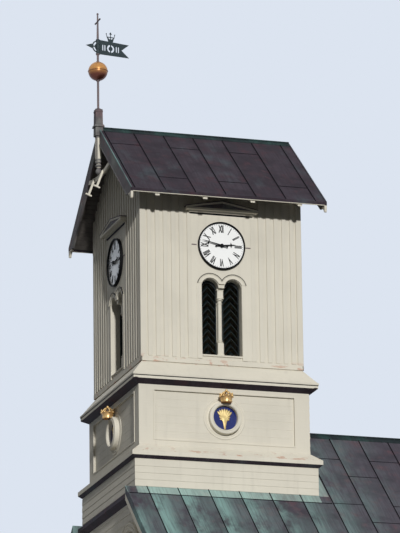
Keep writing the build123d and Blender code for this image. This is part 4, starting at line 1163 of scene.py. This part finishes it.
class TOWER_OT_clock_hoods(bpy.types.Operator):
    """Cap the clock hoods with copper, and add their mouldings, gables and a strip of painted shade
    under each.
    """

    bl_idname = "tower.clock_hood_trims"
    bl_label = "Clock hoods"

    def execute(self, context):
        front = -BELFRY_HALF - HOOD_REACH
        pitch = math.atan(HOOD_RISE / HOOD_HALF)
        length = HOOD_HALF / math.cos(pitch)
        ridge = Matrix.Translation((TOWER_X, 0, HOOD_TOP))
        caps, bars = [], []
        for hand in (-1, 1):
            lean = ridge @ Matrix.Rotation(hand * pitch, 4, "Y")
            left, right = sorted((0, hand * (length + 0.02)))
            cap = board((left, front - 0.03, -0.004), (right, -BELFRY_HALF, 0.014))
            caps.append(settle(cap, lean))
            bar = board((left, front - 0.022, -0.05), (right, front + SEAT, -0.003))
            bars.append(settle(bar, lean))
        dress_sides(joined(*caps), "hood_copper", *BROWN_COPPER)
        # Painted mouldings run up the rakes and along the foot
        bars.append(moulding(
            [(0, 0), (0.012, 0), (0.022, 0.01), (0.022, 0.05), (0.014, 0.062), (0, 0.062)],
            (2 * HOOD_HALF + 0.03, 0, 0), start=(TOWER_X - HOOD_HALF - 0.015, front, HOOD_FOOT)))
        dress_sides(joined(*bars), "hood_mouldings", *JOINERY)
        # Grey copper fills the small gable between them
        tympanum = moulding(
            [(-HOOD_HALF + 0.12, 0.064), (HOOD_HALF - 0.12, 0.064), (0, 0.064 + HOOD_RISE * 0.8)],
            (0, -0.006, 0), start=(TOWER_X, front, HOOD_FOOT), across=(1, 0, 0))
        dress_sides(tympanum, "hood_tympanum", *STREAKED_LIT_COPPER)
        # A near-black sheet over the head of the clock board, under the hood, is painted shade for
        # the shadow line there
        flashing = moulding(
            [(-SEAT, 0.0), (0.01, 0.0), (0.02, 0.012), (0.03, 0.034), (-SEAT, 0.034)],
            (2 * CLOCK_PANEL_HALF - 0.02, 0, 0),
            start=(TOWER_X - CLOCK_PANEL_HALF + 0.01, -BELFRY_HALF - CLOCK_PANEL_FRONT,
                   HOOD_FOOT - HOOD_BED - 0.034))
        dress_sides(flashing, "hood_shadow_flashing", *SHADE_BLACK_COPPER)
        return {"FINISHED"}


class TOWER_OT_roof_sheets(bpy.types.Operator):
    """Lay dented copper with standing seams, cross laps and verge folds on all four slopes."""

    bl_idname = "tower.roof_sheets"
    bl_label = "Roof sheets"

    def execute(self, context):
        copper = context.scene.tower_copper
        pitch = copper.seam_pitch
        self.rise = copper.seam_height
        self.dents = bpy.data.textures.new("sheet_dents", "CLOUDS")
        self.dents.noise_scale = 0.35

        # Tower: seven seams to a slope, and laps that stand high and low by turns
        length = EAVE_HALF / math.cos(TOWER_PITCH)
        cap = 0.15 / math.cos(TOWER_PITCH)
        fold = 0.032
        for side, hand in SLOPES:
            slope = roof_slope(hand, TOWER_X, TOWER_RIDGE, TOWER_PITCH)
            sheet = self.dented((-VERGE_HALF + 0.03, VERGE_HALF - 0.03),
                                (-length + 0.004, -cap + 0.02), 22)
            # The sheet is folded up along both verges, where it has gone green
            for end, edge in (("left", -VERGE_HALF), ("right", VERGE_HALF - fold)):
                verge = board((edge, -length, -0.006), (edge + fold, -0.11, 0.03), ease=0.008)
                dress(settle(verge, slope), f"verge_fold_{side}_{end}", "half_green_sheet_copper",
                      "green_copper")
            dress(settle(sheet, slope), f"tower_sheets_{side}", *BROWN_COPPER)
            folds = []
            for number in range(7):
                place = TOWER_SEAM + number * pitch
                folds.append(self.seam(-hand * place, -length + 0.004, -cap))
                if number < 6:
                    share = 0.25 if number % 2 == 0 else 0.78
                    folds.append(self.lap(-hand * place, -hand * (place + pitch), -length * share))
            # The seams and laps are near-black, as painted shade along each fold
            dress(settle(joined(*folds), slope), f"tower_seams_{side}", *SHADE_BLACK_COPPER)

        # Nave: seams up to the apron beside the tower, and up to the ridge cap behind it
        crest = 0.2
        lowest = NAVE_HALF / math.cos(NAVE_PITCH) - 0.045
        apron = FLASHING_EDGE / math.cos(NAVE_PITCH)
        inner = BASE_HALF / math.cos(NAVE_PITCH)
        west, east = NAVE_FRONT - TOWER_X, NAVE_REAR - TOWER_X
        for side, hand in SLOPES:
            slope = roof_slope(hand, TOWER_X, NAVE_RIDGE, NAVE_PITCH)
            sheets = [
                self.dented((-hand * (west + 0.01), -hand * (east - 0.004)), (-lowest, -apron), 40),
                self.dented((-hand * FLASHING_EDGE, -hand * (east - 0.004)), (-apron, -crest),
                            26)]
            for edge in (west, east - 0.031):
                left, right = sorted((-hand * edge, -hand * (edge + 0.03)))
                sheets.append(board((left, -lowest, -0.004), (right, -apron, 0.03), ease=0.008))
            dress(settle(joined(*sheets), slope), f"nave_sheets_{side}", *HALF_GREEN_COPPER)

            folds = [board((-FLASHING_EDGE, -apron - 0.012, 0.0),
                           (FLASHING_EDGE, -apron + 0.012, 0.02), ease=0.006)]
            place, number = NAVE_SEAM, 0
            while place < east - 0.1:
                if place < FLASHING_EDGE:
                    folds.append(self.seam(-hand * place, -lowest, -apron))
                    if place < BASE_HALF:
                        folds.append(self.seam(-hand * place, -apron, -inner))
                    levels = []
                else:
                    # Laps stand 0.9 m higher and lower by turns, four to a tray
                    folds.append(self.seam(-hand * place, -lowest, -crest))
                    levels = [-crest - 0.9 * (number % 2) - 1.1 - course * copper.lap_pitch
                              for course in range(4)]
                if place + pitch < east:
                    folds += [self.lap(-hand * place, -hand * (place + pitch), level)
                              for level in levels if level > -lowest]
                place += pitch
                number += 1
            # The seams and laps are near-black, as painted shade along each fold
            dress(settle(joined(*folds), slope), f"nave_seams_{side}", *SHADE_BLACK_COPPER)

            # The apron runs on round the west end of the slope
            left, right = sorted((-hand * west, hand * FLASHING_EDGE))
            patch = board((left, -apron, -SEAT), (right + 0.004, -inner, 0.006), ease=0.002)
            dress(settle(patch, slope), f"apron_end_{side}", "green_sheet_copper", "green_copper")
        return {"FINISHED"}

    def dented(self, across, along, cuts):
        """A thin sheet between two places across the slope and two along it, with soft dents."""
        bpy.ops.object.select_all(action="DESELECT")
        bpy.ops.mesh.primitive_plane_add(size=1, location=(sum(across) / 2, sum(along) / 2, 0.007))
        sheet = bpy.context.object
        sheet.scale = (abs(across[1] - across[0]), along[1] - along[0], 1)
        settle(sheet)
        edit(sheet)
        bpy.ops.mesh.subdivide(number_cuts=cuts)
        close_edit()
        lumps = sheet.modifiers.new("dents", "DISPLACE")
        lumps.texture = self.dents
        lumps.strength = 0.009
        bpy.ops.object.modifier_apply(modifier=lumps.name)
        gauge = sheet.modifiers.new("gauge", "SOLIDIFY")
        gauge.thickness = 0.002
        bpy.ops.object.modifier_apply(modifier=gauge.name)
        return sheet

    def seam(self, place, low, high):
        """A standing seam, folded over at its top."""
        half = 0.008
        return board((place - half, low, 0.0), (place + half, high, 0.004 + self.rise),
                     ease=0.003)

    def lap(self, start, end, level):
        """A cross lap between two seams."""
        start, end = sorted((start, end))
        return board((start + 0.012, level - 0.011, 0.0), (end - 0.012, level + 0.011, 0.015),
                     ease=0.004)


class TOWER_OT_roof_edges(bpy.types.Operator):
    """Add ridge rolls, eave strips, soffit boards, corner drops and bargeboard welts."""

    bl_idname = "tower.roof_edges"
    bl_label = "Roof edges"

    def execute(self, context):
        # A roll runs along each ridge, on the nave from the apron to the far end
        west, east = TOWER_X - VERGE_HALF + 0.12, TOWER_X + VERGE_HALF - 0.01
        start = TOWER_X + FLASHING_EDGE + 0.01
        for name, first, last, ridge in (("tower", west, east, TOWER_RIDGE),
                                         ("nave", start, NAVE_REAR - SEAT, NAVE_RIDGE)):
            roll = moulding(rounded(ROLL_RADIUS, sides=10), (last - first, 0, 0),
                            start=(first, 0, ridge + ROLL_RISE))
            dress(roll, f"{name}_ridge_roll", *RIDGE_COPPER, smooth=60)

        # The sheets turn down over the eave boards, which show a narrow cream edge below
        eave_top = TOWER_RIDGE - TOWER_TAN * EAVE_HALF
        turned_down = moulding(
            [(0.0, -0.068), (0.008, -0.068), (0.008, 0.008), (-0.06, 0.064), (-0.06, 0.056),
             (0, 0)],
            (2 * VERGE_HALF, 0, 0), start=(TOWER_X - VERGE_HALF, -EAVE_HALF, eave_top))
        dress_sides(turned_down, "eave_strip", *BROWN_COPPER, sides=("south", "north"))

        # Soffit boards run along the building, under both slopes of the tower roof
        length = EAVE_HALF / math.cos(TOWER_PITCH)
        thick = SLAB_DROP * math.cos(TOWER_PITCH)
        step, joint, edge, lowest = 0.148, 0.008, VERGE_HALF - 0.055, 0.06 - length
        count = int((length - 0.12) / step)
        for side, hand in SLOPES:
            one = board((-edge, lowest, -thick - 0.012),
                        (edge, lowest + step - joint, -thick + SEAT))
            soffit = row_of(one, count, (0, step, 0))
            dress(settle(soffit, roof_slope(hand, TOWER_X, TOWER_RIDGE, TOWER_PITCH)),
                  f"soffit_boards_{side}", "shade_grey_soffit_boards", "painted_boards")

        # A cream drop tapers down from the level foot of each bargeboard
        outline = [(0.0, 0.0), (-0.28, 0.0), (-0.262, -0.03), (-0.16, -0.055), (-0.1, -0.1),
                   (-0.062, -0.165), (-0.04, -0.185), (-0.014, -0.165), (0.0, -0.08)]
        level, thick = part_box("eave_boards")[0].z, 0.065
        for end, low in (("west", -VERGE_HALF), ("east", VERGE_HALF - thick)):
            for side, hand in SLOPES:
                drop = moulding(outline, (thick, 0, 0), across=(0, hand, 0),
                                start=(TOWER_X + low, hand * EAVE_HALF, level))
                edit(drop)
                bpy.ops.mesh.bevel(offset=0.005, segments=1, affect="EDGES")
                dress(close_edit(), f"eave_drop_{end}_{side}", *JOINERY)

        # Copper on the bargeboards is welted at each sheet, and folded under the lower edge
        depth, count = 0.33, 5
        for side, hand in SLOPES:
            parts = []
            for outer in (-VERGE_HALF - 0.004, VERGE_HALF - 0.004):
                for number in range(1, count):
                    place = -length * number / count
                    parts.append(board((outer, place - 0.01, -depth),
                                       (outer + 0.008, place + 0.01, 0.004), ease=0.002))
                parts.append(board((outer - 0.004, -length + 0.28, -depth - 0.004),
                                   (outer + 0.012, -0.32, -depth + 0.022), ease=0.004))
            dress(settle(joined(*parts), roof_slope(hand, TOWER_X, TOWER_RIDGE, TOWER_PITCH)),
                  f"bargeboard_welts_{side}", *STREAKED_LIT_COPPER)
        return {"FINISHED"}


class TOWER_OT_front_gable(bpy.types.Operator):
    """Board the front gable, and ring its round windows with mouldings."""

    bl_idname = "tower.front_gable"
    bl_label = "Front gable"

    def execute(self, context):
        # The gable is modelled looking along the nave: local x is -Y, and local -Y is -X
        facing = Matrix.Translation((FRONT_X, 0, 0)) @ Matrix.Rotation(-math.pi / 2, 4, "Z")
        pitch = context.scene.tower_timber.siding_pitch
        rows = int(FACADE_TOP / pitch) + 1
        height = FACADE_TOP / rows
        half = NAVE_HALF - 0.1
        siding = moulding(bevelled_boards(rows, height), (2 * half, 0, 0), start=(-half, 0, 0))
        under = NAVE_RIDGE - 0.16 / math.cos(NAVE_PITCH) - 0.1
        for hand in (-1, 1):
            saw(siding, (0, 0, under), (hand * math.sin(NAVE_PITCH), 0, math.cos(NAVE_PITCH)))
        rings = []
        for hand in (-1, 1):
            # The boards stop under the window's frame, which has a bead at each edge
            middle = (hand * WINDOW_PLACE, 0, WINDOW_LEVEL)
            bpy.ops.object.select_all(action="DESELECT")
            bpy.ops.mesh.primitive_cylinder_add(
                vertices=64, radius=WINDOW_RADIUS + WINDOW_FRAME / 2, depth=0.2,
                location=middle, rotation=(math.pi / 2, 0, 0))
            carve(siding, settle(bpy.context.object))
            for radius, out, size in ((WINDOW_RADIUS + 0.02, 0.062, 0.018),
                                      (WINDOW_RADIUS + WINDOW_FRAME - 0.03, 0.06, 0.024)):
                section = rounded(size, out, centre=radius)
                rings.append(turned(section, middle, (0, -1, 0), steps=64))
        dress(settle(siding, facing), "gable_siding", *LEVEL_BOARDS)
        dress(settle(joined(*rings), facing), "round_window_beads", *JOINERY, smooth=60)
        return {"FINISHED"}


class TOWER_OT_nave_end(bpy.types.Operator):
    """Build the boarded wall that closes the far end of the nave roof."""

    bl_idname = "tower.nave_end"
    bl_label = "Nave end wall"

    def execute(self, context):
        timber = context.scene.tower_timber
        low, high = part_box("nave_end_wall")
        half, top = high.y, high.z
        # The wall is set back by the boards' thickness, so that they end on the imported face
        inset = 0.022
        wall = moulding([(-half, 0), (half, 0), (0, top)], (0, high.x - low.x - inset, 0),
                        across=(1, 0, 0))
        facing = Matrix.Translation((high.x, 0, 0)) @ Matrix.Rotation(math.pi / 2, 4, "Z")
        settle(wall, Matrix.Translation((0, inset, 0)))
        count = 2 * int((half - 0.2) / timber.board_pitch) + 1
        first = -(count - 1) / 2 * timber.board_pitch
        boards = row_of(board((first - timber.board_width / 2, 0, 0.1),
                              (first + timber.board_width / 2, inset + SEAT, top)),
                        count, (timber.board_pitch, 0, 0))
        for hand in (-1, 1):
            saw(boards, (0, 0, top - 0.06), (hand * math.sin(NAVE_PITCH), 0, math.cos(NAVE_PITCH)))
        plinth = board((-half + 0.12, 0.0, 0), (half - 0.12, inset + SEAT, 0.1))
        clad = settle(joined(wall, boards, plinth), facing)
        dress(clad, "nave_end_boarding", *UPRIGHT_BOARDS)
        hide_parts("nave_end_wall")
        return {"FINISHED"}


class TOWER_OT_finial_details(bpy.types.Operator):
    """Put a domed cap, bands and fillets on the post, rings on the rod and a seam on the ball."""

    bl_idname = "tower.finial_details"
    bl_label = "Finial details"

    def execute(self, context):
        # The ball's two halves are soldered together over a raised seam
        seam = turned(rounded(0.014, centre=BALL_RADIUS + 0.001), (POST_X, 0, BALL_LEVEL), steps=56)
        dress(seam, "ball_seam", "leaf_gold", "gilding", smooth=50)

        # A flared ring closes each pole of the ball round the rod
        rings = []
        for hand in (-1, 1):
            section = [(0.031, 0.0), (0.06, 0.0), (0.052, hand * 0.018), (0.042, hand * 0.03),
                       (0.031, hand * 0.05)]
            level = BALL_LEVEL + hand * (BALL_RADIUS - 0.008)
            rings.append(turned(section, (POST_X, 0, level), steps=28))
        # The fixed arm ends in slim flared tips
        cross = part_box("spire_rod")
        level = POST_TOP + 2.51
        for hand in (-1, 1):
            tip = cross[1].y if hand > 0 else cross[0].y
            section = [(0, 0), (0.024, 0), (0.02, -0.03), (0.015, -0.07), (0, -0.07)]
            rings.append(turned(section, (POST_X, tip, level), (0, hand, 0), steps=18))
        dress(joined(*rings), "rod_rings", *IRON, smooth=50)

        # The post's copper has a band and a low dome at the top, and a fold at the ridge
        reach = 0.106
        head = [
            board((POST_X - reach, -reach, POST_TOP - 0.09),
                  (POST_X + reach, reach, POST_TOP - 0.03), ease=0.012),
            board((POST_X - reach, -reach, TOWER_RIDGE + 0.1),
                  (POST_X + reach, reach, TOWER_RIDGE + 0.112)),
            turned([(0, 0.04), (0.04, 0.036), (0.075, 0.022), (0.1, -0.01), (0.104, -0.04),
                    (0, -0.04)], (POST_X, 0, POST_TOP), steps=28)]
        dress(joined(*head), "post_cap", "streaked_sky_lit_copper_cladding", "finial_copper", smooth=40)

        # Below the ridge the post is painted timber, with a raised fillet on each face
        foot = TOWER_RIDGE - 0.935
        middle = Matrix.Translation((POST_X, 0, 0))
        strips = []
        for number in range(4):
            one = board((-0.05, -0.083, foot + 0.06), (0.05, -0.073, TOWER_RIDGE - 0.28))
            turn = Matrix.Rotation(number * math.pi / 2, 4, "Z")
            strips.append(settle(one, middle @ turn))
        beads = [turned(rounded(0.012, centre=radius), (POST_X, 0, foot - drop), steps=24)
                 for radius, drop in ((0.07, 0.004), (0.052, 0.08), (0.052, 0.17))]
        dress(joined(*strips, *beads), "pendant_fillets", *JOINERY, smooth=40)
        return {"FINISHED"}


class TOWER_OT_vane_details(bpy.types.Operator):
    """Rivet the weathervane, ring its tube and trim its crown; all of it turns with the vane."""

    bl_idname = "tower.vane_details"
    bl_label = "Weathervane details"

    def execute(self, context):
        # The flag is modelled along x and then turned to the wind's side
        yaw = (Matrix.Translation((POST_X, 0, VANE_LEVEL))
               @ Matrix.Rotation(math.radians(12.5), 4, "Z"))
        parts = [turned(rounded(0.009, centre=0.047), (0, 0, level), steps=20)
                 for level in (-0.195, -0.07, 0.07, 0.195)]
        # Rivets on both faces: a column by the tube, and two at the flag's tail
        rivet = [(0, 0), (0.012, 0), (0.009, 0.006), (0, 0.008)]
        for place in (0.09, 0.66, 0.70):
            for row in range(4):
                for face in (-1, 1):
                    parts.append(turned(rivet, (place, face * 0.006, (row - 1.5) * 0.085),
                                        (0, face, 0), steps=10))
        # The crown's rim joins its points, and a short arm crosses its middle spike
        crown, rim = 0.395, 0.325
        parts.append(board((crown - 0.12, -0.008, rim - 0.012), (crown + 0.12, 0.008, rim + 0.012)))
        parts.append(board((crown - 0.04, -0.008, rim + 0.085), (crown + 0.04, 0.008, rim + 0.105)))
        # An outer leaf with a ball at its tip leans out at each end of the rim
        for hand in (-1, 1):
            lean = (Matrix.Translation((crown + hand * 0.108, 0, rim))
                    @ Matrix.Rotation(hand * math.radians(14), 4, "Y"))
            leaf = board((-0.008, -0.006, -0.01), (0.008, 0.006, 0.085), ease=0.002)
            tip = turned([(0, -0.016), (0.014, -0.008), (0.014, 0.008), (0, 0.016)],
                         (0, 0, 0.094), steps=10)
            parts.append(settle(joined(leaf, tip), lean))
        dress(settle(joined(*parts), yaw), "vane_trims", "painted_wrought_iron", "forged_iron",
              body="weathervane_body", smooth=50)
        return {"FINISHED"}


# The steps in their order: the finishes come first, because every other step lays them on
PIECES = (
    TOWER_OT_finishes, TOWER_OT_stage, TOWER_OT_belfry_cladding, TOWER_OT_level_siding,
    TOWER_OT_water_tables, TOWER_OT_medallions, TOWER_OT_light_trims, TOWER_OT_clock_faces,
    TOWER_OT_hand_caps, TOWER_OT_clock_hoods, TOWER_OT_roof_sheets, TOWER_OT_roof_edges,
    TOWER_OT_front_gable, TOWER_OT_nave_end, TOWER_OT_finial_details, TOWER_OT_vane_details)


class TOWER_PT_panel(bpy.types.Panel):
    """Lists the steps that dress the tower."""

    bl_label = "Clock tower"
    bl_idname = "TOWER_PT_panel"
    bl_space_type = "VIEW_3D"
    bl_region_type = "UI"
    bl_category = "Clock tower"

    def draw(self, context):
        for group in SETTINGS:
            settings = getattr(context.scene, group)
            for name in settings.bl_rna.properties.keys():
                if name not in ("rna_type", "name"):
                    self.layout.prop(settings, name)
        for piece in PIECES:
            self.layout.operator(piece.bl_idname)


CLASSES = (*SETTINGS.values(), *PIECES, TOWER_PT_panel)


def register():
    """Register every class, and hang the settings on the scene."""
    for made in CLASSES:
        bpy.utils.register_class(made)
    for group, made in SETTINGS.items():
        setattr(bpy.types.Scene, group, bpy.props.PointerProperty(type=made))


def unregister():
    """Take the settings off the scene, and every class out again."""
    for group in SETTINGS:
        delattr(bpy.types.Scene, group)
    for made in reversed(CLASSES):
        bpy.utils.unregister_class(made)


def main():
    """Dress the tower step by step."""
    register()
    for piece in PIECES:
        area, name = piece.bl_idname.split(".")
        getattr(getattr(bpy.ops, area), name)()


if __name__ == "__main__":
    main()
